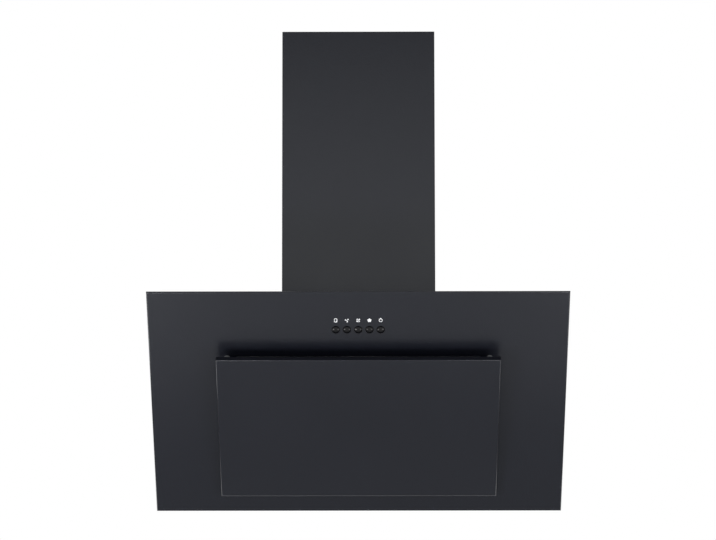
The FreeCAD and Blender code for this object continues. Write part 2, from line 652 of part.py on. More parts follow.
def filter_tray():
    floor = -(OPENING_DOWN + OPENING_HEIGHT)
    rail_rear = FILTER_FRONT - SEAT_GAP
    wall = opening_slab(SHEET, SHEET, TRAY_DEPTH).fuse(opening_slab(TRAY_FLANGE, SHEET, 2 * SHEET))
    wall = wall.cut([opening_slab(0, 0, TRAY_DEPTH - SHEET),
                     opening_slab(-TRAY_LIP, 0, 2 * TRAY_DEPTH, OPENING_CORNER)])
    rail = box(-RAIL_LENGTH / 2, RAIL_LENGTH / 2, rail_rear - SHEET, rail_rear,
               floor - SHEET / 2, floor + RAIL_HEIGHT)
    slot = latch_bolt_box(SEAT_GAP, -OPENING_DOWN + 2 * SHEET, -OPENING_DOWN - SHEET)
    tray = joined([wall, rail]).cut([slot] + rivet_holes() + catch_stud_holes())
    return face_to_body(tray)


def filter_slab(margin, y0, y1, corner):
    return rounded_slab(FILTER_WIDTH + 2 * margin, FILTER_HEIGHT + 2 * margin, corner, y0, y1,
                        FILTER_TOP - FILTER_HEIGHT / 2)


def filter_frame():
    corner = OPENING_CORNER - FILTER_SIDE_GAP
    frame = filter_slab(0, FILTER_FRONT, FILTER_REAR, corner)
    frame = frame.cut([filter_slab(-FILTER_LIP, 0, 2 * TRAY_DEPTH, corner),
                       filter_slab(-FILTER_WALL, FILTER_FRONT + FILTER_WALL,
                                   FILTER_REAR - FILTER_WALL, corner - FILTER_WALL)])
    plate_foot = FILTER_TOP - LATCH_PLATE_HEIGHT
    half_plate = LATCH_PLATE_WIDTH / 2
    plate = box(-half_plate, half_plate, FILTER_FRONT, FILTER_FRONT + FILTER_WALL,
                plate_foot, FILTER_TOP - FILTER_WALL / 2)
    half_seat = LATCH_BOLT_WIDTH / 2
    seat = box(-half_seat, half_seat, FILTER_FRONT, LATCH_Y + LATCH_SPRING_RADIUS,
               plate_foot, plate_foot + LATCH_SEAT_HEIGHT)
    neck_top = FILTER_TOP - LATCH_BOLT_TAIL + LATCH_NECK_HEIGHT + SEAT_GAP
    neck_foot = FILTER_TOP - LATCH_BOLT_TAIL - LATCH_TRAVEL - SEAT_GAP
    half_neck = LATCH_NECK_WIDTH / 2 + SEAT_GAP
    neck_slot = box(-half_neck, half_neck, FILTER_FRONT - SHEET, FILTER_FRONT + 2 * FILTER_WALL,
                    neck_foot, neck_top)
    bolt_slot = latch_bolt_box(SEAT_GAP, FILTER_TOP + SHEET, FILTER_TOP - 2 * FILTER_WALL)
    return face_to_body(joined([frame, plate, seat]).cut([neck_slot, bolt_slot]))


def filter_mesh():
    margin = -(FILTER_WALL + MESH_GAP)
    corner = OPENING_CORNER - FILTER_SIDE_GAP - FILTER_WALL
    mesh = filter_slab(margin, FILTER_FRONT + FILTER_WALL + MESH_GAP,
                       FILTER_REAR - FILTER_WALL - MESH_GAP, corner)
    half_notch = LATCH_PLATE_WIDTH / 2 + MESH_NOTCH_GAP
    notch = box(-half_notch, half_notch, 0, TRAY_DEPTH,
                FILTER_TOP - LATCH_PLATE_HEIGHT - MESH_NOTCH_GAP, FILTER_TOP)
    return face_to_body(mesh.cut(notch))


def filter_latch():
    handle_rear = FILTER_FRONT - SEAT_GAP
    handle_front = handle_rear - LATCH_HANDLE_DEPTH
    handle_top = FILTER_TOP - 2 * SHEET
    handle_foot = handle_top - LATCH_HANDLE_HEIGHT
    half_handle = LATCH_HANDLE_WIDTH / 2
    half_neck = LATCH_NECK_WIDTH / 2
    bolt_foot = FILTER_TOP - LATCH_BOLT_TAIL
    bolt_top = -OPENING_DOWN + SHEET + LATCH_BOLT_REACH
    handle = box(-half_handle, half_handle, handle_front, handle_rear, handle_foot, handle_top)
    ridge = box(-half_handle, half_handle, handle_front - LATCH_HANDLE_DEPTH, handle_front,
                handle_foot, handle_foot + LATCH_RIDGE)
    neck = box(-half_neck, half_neck, handle_rear - SHEET, LATCH_Y, bolt_foot,
               bolt_foot + LATCH_NECK_HEIGHT)
    return face_to_body(joined([handle, ridge, neck, latch_bolt_box(0, bolt_top, bolt_foot)]))


def latch_spring():
    top = Vector(0, LATCH_Y, FILTER_TOP - LATCH_BOLT_TAIL)
    foot = Vector(0, LATCH_Y, FILTER_TOP - LATCH_PLATE_HEIGHT + LATCH_SEAT_HEIGHT)
    return face_to_body(coil_spring(LATCH_SPRING_RADIUS, LATCH_WIRE_RADIUS, LATCH_SPRING_TURNS, foot, top))


# ---- Flap (on the flap) ----------------------------------------------------------------
def hinge_notch(centre_x):
    """Room in the flap for one fixed hinge leaf, behind and under the pin."""
    half = FIXED_KNUCKLE_LENGTH / 2 + HINGE_NOTCH_GAP
    front = HINGE_Y_ON_FLAP - HINGE_WEB / 2 + SEAT_GAP
    return box(centre_x - half, centre_x + half, front, 2 * FLAP_THICKNESS,
               -FLAP_HEIGHT - HINGE_INSET, HINGE_Z_ON_FLAP - HINGE_INSET + HINGE_NOTCH_HEIGHT)


def hinge_centres():
    return [-HINGE_SPACING / 2, HINGE_SPACING / 2]


def flap_block(inset, y0, y1):
    return box(-FLAP_WIDTH / 2 + inset, FLAP_WIDTH / 2 - inset, y0, y1, -FLAP_HEIGHT + inset, -inset)


def flap_panel():
    block = flap_block(0, 0, FLAP_THICKNESS)
    front_edges = [edge for edge in block.Edges if all(abs(v.Y) < TOLERANCE for v in edge.Vertexes)]
    tray = block.makeFillet(FLAP_EDGE_RADIUS, front_edges)
    tray = tray.cut([flap_block(FLAP_SHEET, FLAP_SHEET, 2 * FLAP_THICKNESS)])
    return flap_to_body(tray.cut([hinge_notch(x) for x in hinge_centres()]))


def flap_backing():
    plate = flap_block(FLAP_SHEET + BACKING_GAP, FLAP_THICKNESS - FLAP_SHEET, FLAP_THICKNESS)
    return flap_to_body(plate.cut([hinge_notch(x) for x in hinge_centres()]))


def moving_hinge_leaf(centre_x):
    half = HINGE_HALF_LENGTH
    inner = FIXED_KNUCKLE_LENGTH / 2 + SEAT_GAP
    top = HINGE_Z_ON_FLAP + HINGE_LEAF_HEIGHT
    axis = Vector(centre_x, HINGE_Y_ON_FLAP, HINGE_Z_ON_FLAP)
    leaf = box(centre_x - half, centre_x + half, FLAP_SHEET, 2 * FLAP_SHEET, HINGE_Z_ON_FLAP, top)
    pieces = [leaf]
    for start, end in ((-half, -inner), (inner, half)):
        pieces.append(rod(KNUCKLE_RADIUS, axis + ALONG_X * start, axis + ALONG_X * end))
        pieces.append(box(centre_x + start, centre_x + end, FLAP_SHEET, HINGE_Y_ON_FLAP,
                          HINGE_Z_ON_FLAP, HINGE_Z_ON_FLAP + KNUCKLE_RADIUS))
    room = rod(KNUCKLE_RADIUS + SEAT_GAP, axis - ALONG_X * inner, axis + ALONG_X * inner)
    bore = rod(HINGE_PIN_RADIUS + FIXED_GAP, axis - ALONG_X * 2 * half, axis + ALONG_X * 2 * half)
    return flap_to_body(joined(pieces).cut([room, bore]))


def hinge_pins():
    half = HINGE_HALF_LENGTH - SEAT_GAP
    centres = [Vector(x, HINGE_Y_ON_FLAP, HINGE_Z_ON_FLAP) for x in hinge_centres()]
    return flap_to_body(group([rod(HINGE_PIN_RADIUS, c - ALONG_X * half, c + ALONG_X * half)
                               for c in centres]))


def catch_centre_on_flap(side):
    """Where a catch post meets the flap, from its place on the face."""
    tilt = math.radians(FLAP_TILT_DEG)
    along = (CATCH_DOWN - FLAP_DOWN) / math.cos(tilt)
    return Vector(side * CATCH_X, FLAP_THICKNESS, -along)


def catch_strikes():
    """Steel discs on the flap's backing, opposite the magnetic catch posts."""
    return flap_to_body(group([
        rod(CATCH_STRIKE_RADIUS, catch_centre_on_flap(side),
            catch_centre_on_flap(side) + ALONG_Y * CATCH_STRIKE_THICKNESS) for side in (-1, 1)]))


# ---- Hinge brackets and catch posts (on the face) --------------------------------------
def fixed_hinge_leaf(centre_x):
    axis = hinge_axis_on_face() + ALONG_X * centre_x
    half = FIXED_KNUCKLE_LENGTH / 2
    base = box(centre_x - half, centre_x + half, -SHEET, 0, axis.z - HINGE_BASE_HEIGHT / 2 + HINGE_WEB,
               axis.z + HINGE_BASE_HEIGHT / 2 + HINGE_WEB)
    web = box(centre_x - half, centre_x + half, axis.y, 0, axis.z - HINGE_WEB / 2, axis.z + HINGE_WEB / 2)
    barrel = rod(KNUCKLE_RADIUS, axis - ALONG_X * half, axis + ALONG_X * half)
    bore = rod(HINGE_PIN_RADIUS + RUNNING_GAP, axis - ALONG_X * 2 * half, axis + ALONG_X * 2 * half)
    return face_to_body(joined([base, web, barrel]).cut([bore] + rivet_holes()))


def hinge_rivets():
    rivets = []
    for place in rivet_places():
        head_foot = place + ALONG_Y * 2 * SHEET
        shank = rod(RIVET_RADIUS, place - ALONG_Y * SHEET, head_foot + ALONG_Y * RIVET_HEAD_HEIGHT / 2)
        head = rod(RIVET_HEAD_RADIUS, head_foot, head_foot + ALONG_Y * RIVET_HEAD_HEIGHT)
        rivets.append(shank.fuse(head))
    return face_to_body(group(rivets))


def catch_post(side):
    """A post square to the flap's back, standing on the face, with a stud through it."""
    tip = catch_centre_on_flap(side) + ALONG_Y * (CATCH_STRIKE_THICKNESS + SEAT_GAP)
    post = flap_to_face(rod(CATCH_POST_RADIUS, tip, tip + ALONG_Y * CATCH_POST_LENGTH))
    reach = FACE_LENGTH
    in_front = box(-BODY_WIDTH, BODY_WIDTH, -reach, 0, -reach, reach)
    foot = Vector(side * CATCH_X, 0, -CATCH_DOWN)
    stud = rod(CATCH_STUD_RADIUS, foot - ALONG_Y * SHEET, foot + ALONG_Y * CATCH_STUD_LENGTH)
    return face_to_body(joined([post.common(in_front), stud]))


# ---- Push buttons and switch block (on the face) ---------------------------------------
def push_button(index):
    flange_front = SHEET + SEAT_GAP
    cap = button_axis(index, -BUTTON_PROUD, BUTTON_FLANGE_REAR, BUTTON_RADIUS)
    flange = button_axis(index, flange_front, BUTTON_FLANGE_REAR, BUTTON_FLANGE_RADIUS)
    stem = button_axis(index, flange_front, BUTTON_STEM_END, BUTTON_STEM_RADIUS)
    dome_radius = (BUTTON_RADIUS ** 2 + BUTTON_CROWN ** 2) / (2 * BUTTON_CROWN)
    centre = Vector(button_x(index), dome_radius - BUTTON_CROWN - BUTTON_PROUD, -BUTTON_DOWN)
    crown = Part.makeSphere(dome_radius, centre)
    crown = crown.common(button_axis(index, -BUTTON_PROUD - 2 * BUTTON_CROWN, 0, BUTTON_RADIUS))
    return face_to_body(joined([cap, flange, stem, crown]))


def switch_block():
    half = button_x(len(BUTTON_NAMES) - 1) + SWITCH_BLOCK_END
    foot_half = half + SWITCH_FOOT_LENGTH
    low = -BUTTON_DOWN - SWITCH_BLOCK_HEIGHT / 2
    high = low + SWITCH_BLOCK_HEIGHT
    case = box(-half, half, SWITCH_BLOCK_FRONT, SWITCH_BLOCK_REAR, low, high)
    pieces = [case]
    cuts = []
    for side in (-1, 1):
        x0, x1 = sorted((side * (half - SHEET), side * foot_half))
        pieces.append(box(x0, x1, SHEET, SHEET + SWITCH_FOOT_DEPTH, low, high))
        x0, x1 = sorted((side * (half - SHEET), side * half))
        pieces.append(box(x0, x1, SHEET, SWITCH_BLOCK_REAR, low, high))
        place = Vector(side * switch_stud_x(), 0, -BUTTON_DOWN)
        cuts.append(rod(WELD_STUD_RADIUS + SWITCH_STUD_GAP, place, place + ALONG_Y * SWITCH_BLOCK_REAR))
    for index in range(len(BUTTON_NAMES)):
        cuts.append(button_axis(index, 0, SWITCH_POCKET_END, SWITCH_POCKET_RADIUS))
        cuts.append(button_axis(index, 0, 2 * SWITCH_BLOCK_REAR, BUTTON_STEM_RADIUS + RUNNING_GAP))
    return face_to_body(joined(pieces).cut(cuts))


def button_springs():
    return face_to_body(group([
        coil_spring(BUTTON_SPRING_RADIUS, BUTTON_WIRE_RADIUS, BUTTON_SPRING_TURNS,
                    Vector(button_x(i), BUTTON_FLANGE_REAR, -BUTTON_DOWN),
                    Vector(button_x(i), SWITCH_POCKET_END, -BUTTON_DOWN))
        for i in range(len(BUTTON_NAMES))]))


# ---- Lamps -----------------------------------------------------------------------------
def lamp_level(side, z):
    return lamp_centre(side) + ALONG_Z * z


def lens_top():
    return BOTTOM_Z + LENS_RECESS + LENS_THICKNESS


def lamp_housing(side):
    roof = FLOOR_UNDER + LAMP_BODY_HEIGHT
    cavity = LAMP_BODY_RADIUS - LAMP_WALL
    body = rod(LAMP_BODY_RADIUS, lamp_level(side, BOTTOM_Z), lamp_level(side, roof))
    flange = rod(LAMP_FLANGE_RADIUS, lamp_level(side, BOTTOM_Z), lamp_level(side, FLOOR_UNDER))
    mouth = rod(cavity, lamp_level(side, BOTTOM_Z - SHEET), lamp_level(side, lens_top()))
    hollow = rod(cavity - LENS_LEDGE, lamp_level(side, BOTTOM_Z), lamp_level(side, roof - LAMP_WALL))
    return joined([body, flange]).cut([mouth, hollow])


def lamp_lens(side):
    radius = LAMP_BODY_RADIUS - LAMP_WALL - FIXED_GAP
    return rod(radius, lamp_level(side, BOTTOM_Z + LENS_RECESS), lamp_level(side, lens_top()))


def led_boards():
    top = FLOOR_UNDER + LAMP_BODY_HEIGHT - LAMP_WALL
    under = top - BOARD_THICKNESS
    boards = []
    for side in (-1, 1):
        pieces = [rod(BOARD_RADIUS, lamp_level(side, under), lamp_level(side, top))]
        for chip in range(CHIPS):
            angle = 2 * math.pi * chip / CHIPS
            middle = lamp_centre(side) + Vector(math.cos(angle), math.sin(angle), 0) * CHIP_CIRCLE_RADIUS
            pieces.append(box(middle.x - CHIP_SIZE / 2, middle.x + CHIP_SIZE / 2,
                              middle.y - CHIP_SIZE / 2, middle.y + CHIP_SIZE / 2, under - CHIP_HEIGHT, top))
        boards.append(joined(pieces))
    return group(boards)


def led_driver():
    front = -BODY_BOTTOM_DEPTH / 2 - DRIVER_DEPTH / 2
    case = box(-DRIVER_LENGTH / 2, DRIVER_LENGTH / 2, front, front + DRIVER_DEPTH,
               FLOOR_TOP, FLOOR_TOP + DRIVER_HEIGHT)
    upright = [edge for edge in case.Edges if runs_along(edge, ALONG_Z)]
    case = case.makeFillet(DRIVER_CORNER, upright)
    half = DRIVER_LENGTH / 2 + DRIVER_EAR
    ears = box(-half, half, front + DRIVER_DEPTH / 4, front + 3 * DRIVER_DEPTH / 4,
               FLOOR_TOP, FLOOR_TOP + 2 * SHEET)
    return joined([case, ears])


# ---- Blower ----------------------------------------------------------------------------
def scroll_outline(outward):
    """The scroll's wall seen from the side, moved outwards by `outward`: down the throat's
    front, round the tongue, three growing quarter turns, and up the throat's rear."""
    front_wall = THROAT_FRONT - outward
    rear_wall = THROAT_REAR + outward
    first = Vector(0, SHAFT_Y - HALF_STEP, SHAFT_Z - HALF_STEP)
    second = first + ALONG_Y * SCROLL_STEP
    third = second + ALONG_Z * SCROLL_STEP
    radius = SCROLL_START_RADIUS + outward
    tongue = TONGUE_RADIUS - outward
    tongue_centre = first + ALONG_Z * (radius + tongue)
    diagonal = math.sqrt(0.5)
    top = ROOF_UNDER

    def arc(centre, size, y0, z0, y1, z1, y2, z2):
        return Part.Arc(centre + Vector(0, y0, z0) * size, centre + Vector(0, y1, z1) * size,
                        centre + Vector(0, y2, z2) * size).toShape()

    second_radius = radius + SCROLL_STEP
    third_radius = second_radius + SCROLL_STEP
    return [
        Part.LineSegment(Vector(0, front_wall, top), tongue_centre + ALONG_Y * tongue).toShape(),
        arc(tongue_centre, tongue, 1, 0, diagonal, -diagonal, 0, -1),
        arc(first, radius, 0, 1, -diagonal, diagonal, -1, 0),
        arc(second, second_radius, -1, 0, -diagonal, -diagonal, 0, -1),
        arc(third, third_radius, 0, -1, diagonal, -diagonal, 1, 0),
        Part.LineSegment(third + ALONG_Y * third_radius, Vector(0, rear_wall, top)).toShape()]


def ends_of(edges):
    return edges[0].Vertexes[0].Point, edges[-1].Vertexes[-1].Point


def collar_screw_seats():
    """On the roof, beside the spigot's flange."""
    return [Vector(sx * COLLAR_SCREW_X, -OUTLET_FROM_WALL + sy * COLLAR_SCREW_Y, ROOF_TOP)
            for sx in (-1, 1) for sy in (-1, 1)]


def collar_screw_holes():
    return [screw_hole(seat, -ALONG_Z, SCREW_LENGTH) for seat in collar_screw_seats()]


def blower_scroll():
    """The scroll's wall, with a collar round its throat under the roof."""
    inner = scroll_outline(0)
    outer = scroll_outline(SHEET)
    caps = [Part.LineSegment(a, b).toShape() for a, b in zip(ends_of(inner), ends_of(outer))]
    section = Part.Face(Part.Wire(Part.__sortEdges__(inner + outer + caps)))
    section.translate(ALONG_X * -SCROLL_WIDTH / 2)
    band = section.extrude(ALONG_X * SCROLL_WIDTH)
    half = SCROLL_WIDTH / 2
    reach = COLLAR_SCREW_X + COLLAR_SCREW_MARGIN
    under = ROOF_UNDER - SHEET
    collar = box(-reach, reach, THROAT_FRONT - SHEET - COLLAR_WIDTH, THROAT_REAR + SHEET + COLLAR_WIDTH,
                 under, ROOF_UNDER)
    throat = box(-half, half, THROAT_FRONT, THROAT_REAR, under, ROOF_UNDER)
    plates = [box(x0, x1, THROAT_FRONT - SHEET - COLLAR_GAP, THROAT_REAR + SHEET + COLLAR_GAP,
                  under, ROOF_UNDER)
              for x0, x1 in ((half, half + SHEET + COLLAR_GAP), (-half - SHEET - COLLAR_GAP, -half))]
    return joined([band, collar.cut([throat] + plates)]).cut(collar_screw_holes())


def shaft_point(x):
    return Vector(x, SHAFT_Y, SHAFT_Z)


def blower_side_right():
    outline = scroll_outline(SHEET)
    top = Part.LineSegment(*ends_of(outline)).toShape()
    plate = Part.Face(Part.Wire(Part.__sortEdges__(outline + [top])))
    plate.translate(ALONG_X * SCROLL_WIDTH / 2)
    plate = plate.extrude(ALONG_X * SHEET)
    inside = SCROLL_WIDTH / 2 - INLET_LIP
    outside = SCROLL_WIDTH / 2 + SHEET
    lip = rod(INLET_RADIUS + SHEET, shaft_point(inside), shaft_point(outside))
    hole = rod(INLET_RADIUS, shaft_point(0), shaft_point(2 * outside))
    return joined([plate, lip]).cut([hole])


def blade():
    """One blade: a thin curved strip between the wheel's inner and outer radius."""
    sweep = math.radians(BLADE_SWEEP_DEG)
    outer = IMPELLER_RADIUS - BLADE_THICKNESS
    middle = (outer + IMPELLER_INNER_RADIUS) / 2

    def point(radius, angle):
        return Vector(0, radius * math.cos(angle), radius * math.sin(angle))

    lead = BLADE_THICKNESS / IMPELLER_RADIUS
    front = Part.Arc(point(IMPELLER_INNER_RADIUS, 0), point(middle, sweep / 4), point(outer, sweep)).toShape()
    rear = Part.Arc(point(IMPELLER_INNER_RADIUS, lead), point(middle, lead + sweep / 4),
                    point(outer, sweep + lead)).toShape()
    ends = [Part.LineSegment(point(IMPELLER_INNER_RADIUS, 0), point(IMPELLER_INNER_RADIUS, lead)).toShape(),
            Part.LineSegment(point(outer, sweep), point(outer, sweep + lead)).toShape()]
    section = Part.Face(Part.Wire(Part.__sortEdges__([front, rear] + ends)))
    section.translate(ALONG_X * -IMPELLER_WIDTH / 2)
    return section.extrude(ALONG_X * IMPELLER_WIDTH)


def impeller():
    half = IMPELLER_WIDTH / 2
    disc_end = IMPELLER_DISC_X + IMPELLER_RING
    ring_inner = (IMPELLER_RADIUS + IMPELLER_INNER_RADIUS) / 2
    pieces = [tube(IMPELLER_RADIUS, ring_inner, ALONG_X * -half, ALONG_X * (IMPELLER_RING - half)),
              tube(IMPELLER_RADIUS, ring_inner, ALONG_X * (half - IMPELLER_RING), ALONG_X * half),
              rod(IMPELLER_RADIUS - BLADE_THICKNESS / 2, ALONG_X * IMPELLER_DISC_X, ALONG_X * disc_end),
              rod(HUB_RADIUS, ALONG_X * IMPELLER_DISC_X, ALONG_X * (IMPELLER_DISC_X + HUB_LENGTH))]
    for step in range(BLADES):
        copy = blade()
        copy.rotate(Vector(0, 0, 0), ALONG_X, 360.0 * step / BLADES)
        pieces.append(copy)
    wheel = joined(pieces).cut(rod(SHAFT_RADIUS + FIXED_GAP, ALONG_X * -half, ALONG_X * half))
    wheel.translate(shaft_point(0))
    return wheel


# ---- Motor, inside the left half of the impeller ---------------------------------------
def motor_rotor():
    """The shaft with the rotor core on it."""
    shaft = rod(SHAFT_RADIUS, shaft_point(MOTOR_REAR_X + MOTOR_WALL + SEAT_GAP),
                shaft_point(IMPELLER_DISC_X + HUB_LENGTH + SHEET))
    core = rod(STATOR_INNER_RADIUS - ROTOR_AIR_GAP, shaft_point(MOTOR_REAR_X + MOTOR_WALL + STATOR_END_GAP),
               shaft_point(MOTOR_FRONT_X - MOTOR_WALL - STATOR_END_GAP))
    return joined([shaft, core])


def motor_housing():
    inner = MOTOR_RADIUS - MOTOR_WALL
    shell = rod(MOTOR_RADIUS, shaft_point(MOTOR_REAR_X), shaft_point(MOTOR_FRONT_X))
    hollow = rod(inner, shaft_point(MOTOR_REAR_X + MOTOR_WALL), shaft_point(MOTOR_FRONT_X - MOTOR_WALL))
    shell = shell.cut(hollow)
    seat = BEARING_RADIUS + FIXED_GAP
    rear_start = MOTOR_REAR_X + MOTOR_WALL / 2
    rear_end = MOTOR_REAR_X + MOTOR_WALL + BEARING_WIDTH
    front_start = MOTOR_FRONT_X - MOTOR_WALL - BEARING_WIDTH
    front_end = MOTOR_FRONT_X - MOTOR_WALL / 2
    cups = [tube(seat + MOTOR_WALL, seat, shaft_point(rear_start), shaft_point(rear_end)),
            tube(seat + MOTOR_WALL, seat, shaft_point(front_start), shaft_point(front_end))]
    hole = rod(SHAFT_RADIUS + SHAFT_HOLE_GAP, shaft_point(0), shaft_point(2 * MOTOR_FRONT_X))
    return joined([shell] + cups).cut([hole])


def motor_stator():
    return tube(MOTOR_RADIUS - MOTOR_WALL - FIXED_GAP, STATOR_INNER_RADIUS,
                shaft_point(MOTOR_REAR_X + MOTOR_WALL + STATOR_END_GAP),
                shaft_point(MOTOR_FRONT_X - MOTOR_WALL - STATOR_END_GAP))


def motor_bearings():
    rear = MOTOR_REAR_X + MOTOR_WALL
    front = MOTOR_FRONT_X - MOTOR_WALL
    spans = ((rear, rear + BEARING_WIDTH), (front - BEARING_WIDTH, front))
    return group([tube(BEARING_RADIUS, SHAFT_RADIUS + RUNNING_GAP, shaft_point(x0), shaft_point(x1))
                  for x0, x1 in spans])


def side_left_x():
    """Outer side of the blower's left side plate."""
    return -(SCROLL_WIDTH / 2 + SHEET)


def arm_directions():
    angles = [math.radians(90 + 360.0 * arm / BRACKET_ARMS) for arm in range(BRACKET_ARMS)]
    return [Vector(0, math.cos(angle), math.sin(angle)) for angle in angles]


def motor_bracket():
    """A spider of three arms over the left inlet, with a boss on the motor's rear end."""
    inner = side_left_x() - RUBBER_THICKNESS
    outer = inner - BRACKET_SHEET
    pieces = [rod(BRACKET_HUB_RADIUS, shaft_point(outer), shaft_point(MOTOR_REAR_X))]
    holes = []
    for number, direction in enumerate(arm_directions()):
        arm = box(outer, inner, -BRACKET_ARM_WIDTH / 2, BRACKET_ARM_WIDTH / 2, 0, BRACKET_ARM_END)
        arm.rotate(Vector(0, 0, 0), ALONG_X, 360.0 * number / BRACKET_ARMS)
        arm.translate(Vector(0, SHAFT_Y, SHAFT_Z))
        pieces.append(arm)
        seat = shaft_point(outer) + direction * RUBBER_CIRCLE_RADIUS
        holes.append(screw_hole(seat, ALONG_X, SCREW_LENGTH))
    return joined(pieces).cut(holes)


def rubber_mounts():
    mounts = []
    for direction in arm_directions():
        offset = direction * RUBBER_CIRCLE_RADIUS
        mounts.append(tube(RUBBER_RADIUS, SCREW_RADIUS + SCREW_GAP,
                           shaft_point(side_left_x() - RUBBER_THICKNESS) + offset,
                           shaft_point(side_left_x()) + offset))
    return group(mounts)


def blower_side_left():
    holes = [screw_hole(shaft_point(side_left_x()) + direction * RUBBER_CIRCLE_RADIUS, ALONG_X, SCREW_LENGTH)
             for direction in arm_directions()]
    return mirrored(blower_side_right()).cut(holes)


def blower_screws():
    """Four screws through the roof and the scroll's collar, four through the spigot's flange
    and the roof, and three through the motor bracket's rubbers."""
    outer = side_left_x() - RUBBER_THICKNESS - BRACKET_SHEET
    screws = [screw(seat, -ALONG_Z) for seat in collar_screw_seats()]
    screws += [screw(seat, -ALONG_Z, SPIGOT_FLANGE_THICKNESS + SHEET) for seat in spigot_screw_seats()]
    screws += [screw(shaft_point(outer) + direction * RUBBER_CIRCLE_RADIUS, ALONG_X)
               for direction in arm_directions()]
    return group(screws)


# ---- Electrical parts under the roof ---------------------------------------------------
def capacitor_centre():
    return Vector(CAPACITOR_X, -CAPACITOR_FROM_WALL, ROOF_UNDER - CAPACITOR_RADIUS - FIXED_GAP - CLIP_SHEET)


def capacitor():
    """The can, its rounded ends, and two blade terminals."""
    half = ALONG_Y * CAPACITOR_LENGTH / 2
    can = rod(CAPACITOR_RADIUS, capacitor_centre() - half, capacitor_centre() + half)
    can = can.makeFillet(CAPACITOR_EDGE_RADIUS, [edge for edge in can.Edges if edge.Closed])
    half_width = BLADE_TERMINAL_WIDTH / 2
    half_thickness = BLADE_TERMINAL_THICKNESS / 2
    terminals = []
    for side in (-1, 1):
        root = capacitor_centre() + half + ALONG_X * side * CAPACITOR_RADIUS / 3
        terminals.append(box(root.x - half_width, root.x + half_width,
                             root.y - BLADE_TERMINAL_THICKNESS, root.y + BLADE_TERMINAL_LENGTH,
                             root.z - half_thickness, root.z + half_thickness))
    return joined([can] + terminals)


def capacitor_clip():
    """A strap round the can with two feet against the roof."""
    middle = capacitor_centre()
    y0 = middle.y - CLIP_WIDTH / 2
    outer = CAPACITOR_RADIUS + FIXED_GAP + CLIP_SHEET
    start = Vector(middle.x, y0, middle.z)
    strap = rod(outer, start, start + ALONG_Y * CLIP_WIDTH)
    sides = box(middle.x - outer, middle.x + outer, y0, y0 + CLIP_WIDTH, middle.z, ROOF_UNDER)
    feet = box(middle.x - outer - CLIP_FOOT, middle.x + outer + CLIP_FOOT, y0, y0 + CLIP_WIDTH,
               ROOF_UNDER - CLIP_SHEET, ROOF_UNDER)
    room = rod(CAPACITOR_RADIUS + FIXED_GAP, start - ALONG_Y, start + ALONG_Y * 2 * CLIP_WIDTH)
    return joined([strap, sides, feet]).cut([room])


def terminal_box():
    middle_y = -TERMINAL_BOX_FROM_WALL
    x0 = TERMINAL_BOX_X - TERMINAL_BOX_WIDTH / 2
    y0 = middle_y - TERMINAL_BOX_DEPTH / 2
    case = box(x0, x0 + TERMINAL_BOX_WIDTH, y0, y0 + TERMINAL_BOX_DEPTH,
               ROOF_UNDER - TERMINAL_BOX_HEIGHT, ROOF_UNDER)
    wall = TERMINAL_BOX_WALL
    hollow = box(x0 + wall, x0 + TERMINAL_BOX_WIDTH - wall, y0 + wall, y0 + TERMINAL_BOX_DEPTH - wall,
                 ROOF_UNDER - TERMINAL_BOX_HEIGHT + wall, ROOF_UNDER - wall)
    return case.cut(hollow)


def cable_gland():
    """Body with a hexagon on the roof, a domed cap above it and a nut below."""
    foot = Vector(GLAND_X, -GLAND_FROM_WALL, ROOF_TOP)

    def hexagon(z0, z1):
        corners = [foot + Vector(math.cos(k * math.pi / 3), math.sin(k * math.pi / 3), 0) * GLAND_HEX_RADIUS
                   + ALONG_Z * z0 for k in range(7)]
        return Part.Face(Part.makePolygon(corners)).extrude(ALONG_Z * (z1 - z0))

    cap_top = GLAND_HEX_HEIGHT + GLAND_CAP_HEIGHT
    nut_top = -SHEET
    cap_radius = GLAND_HEX_RADIUS * math.cos(math.pi / 6) - GLAND_CAP_INSET
    cap = Part.makeCone(cap_radius, GLAND_CAP_TOP_RADIUS, GLAND_CAP_HEIGHT,
                        foot + ALONG_Z * GLAND_HEX_HEIGHT)
    thread = rod(GLAND_THREAD_RADIUS, foot - ALONG_Z * GLAND_DEPTH, foot + ALONG_Z * SHEET)
    bore = rod(GLAND_BORE_RADIUS, foot - ALONG_Z * 2 * GLAND_DEPTH, foot + ALONG_Z * 2 * cap_top)
    nut = hexagon(nut_top - GLAND_NUT_HEIGHT, nut_top)
    return joined([hexagon(0, GLAND_HEX_HEIGHT), cap, thread, nut]).cut(bore)


# ---- Outlet spigot and damper ----------------------------------------------------------
def outlet_level(height):
    """A point on the outlet's axis, `height` above the roof."""
    return OUTLET_CENTRE + ALONG_Z * (ROOF_TOP + height)


def spigot_screw_seats():
    radius = SPIGOT_RADIUS + SPIGOT_FLANGE_WIDTH / 2
    angles = [math.pi / 4 + 2 * math.pi * k / SPIGOT_SCREWS for k in range(SPIGOT_SCREWS)]
    return [outlet_level(SPIGOT_FLANGE_THICKNESS) + Vector(math.cos(a), math.sin(a), 0) * radius
            for a in angles]


def spigot_screw_holes():
    return [screw_hole(seat, -ALONG_Z, SCREW_LENGTH) for seat in spigot_screw_seats()]


def damper_pin_line(side, half_length):
    middle = outlet_level(DAMPER_HEIGHT) + ALONG_X * side * DAMPER_PIN_OFFSET
    return middle - ALONG_Y * half_length, middle + ALONG_Y * half_length


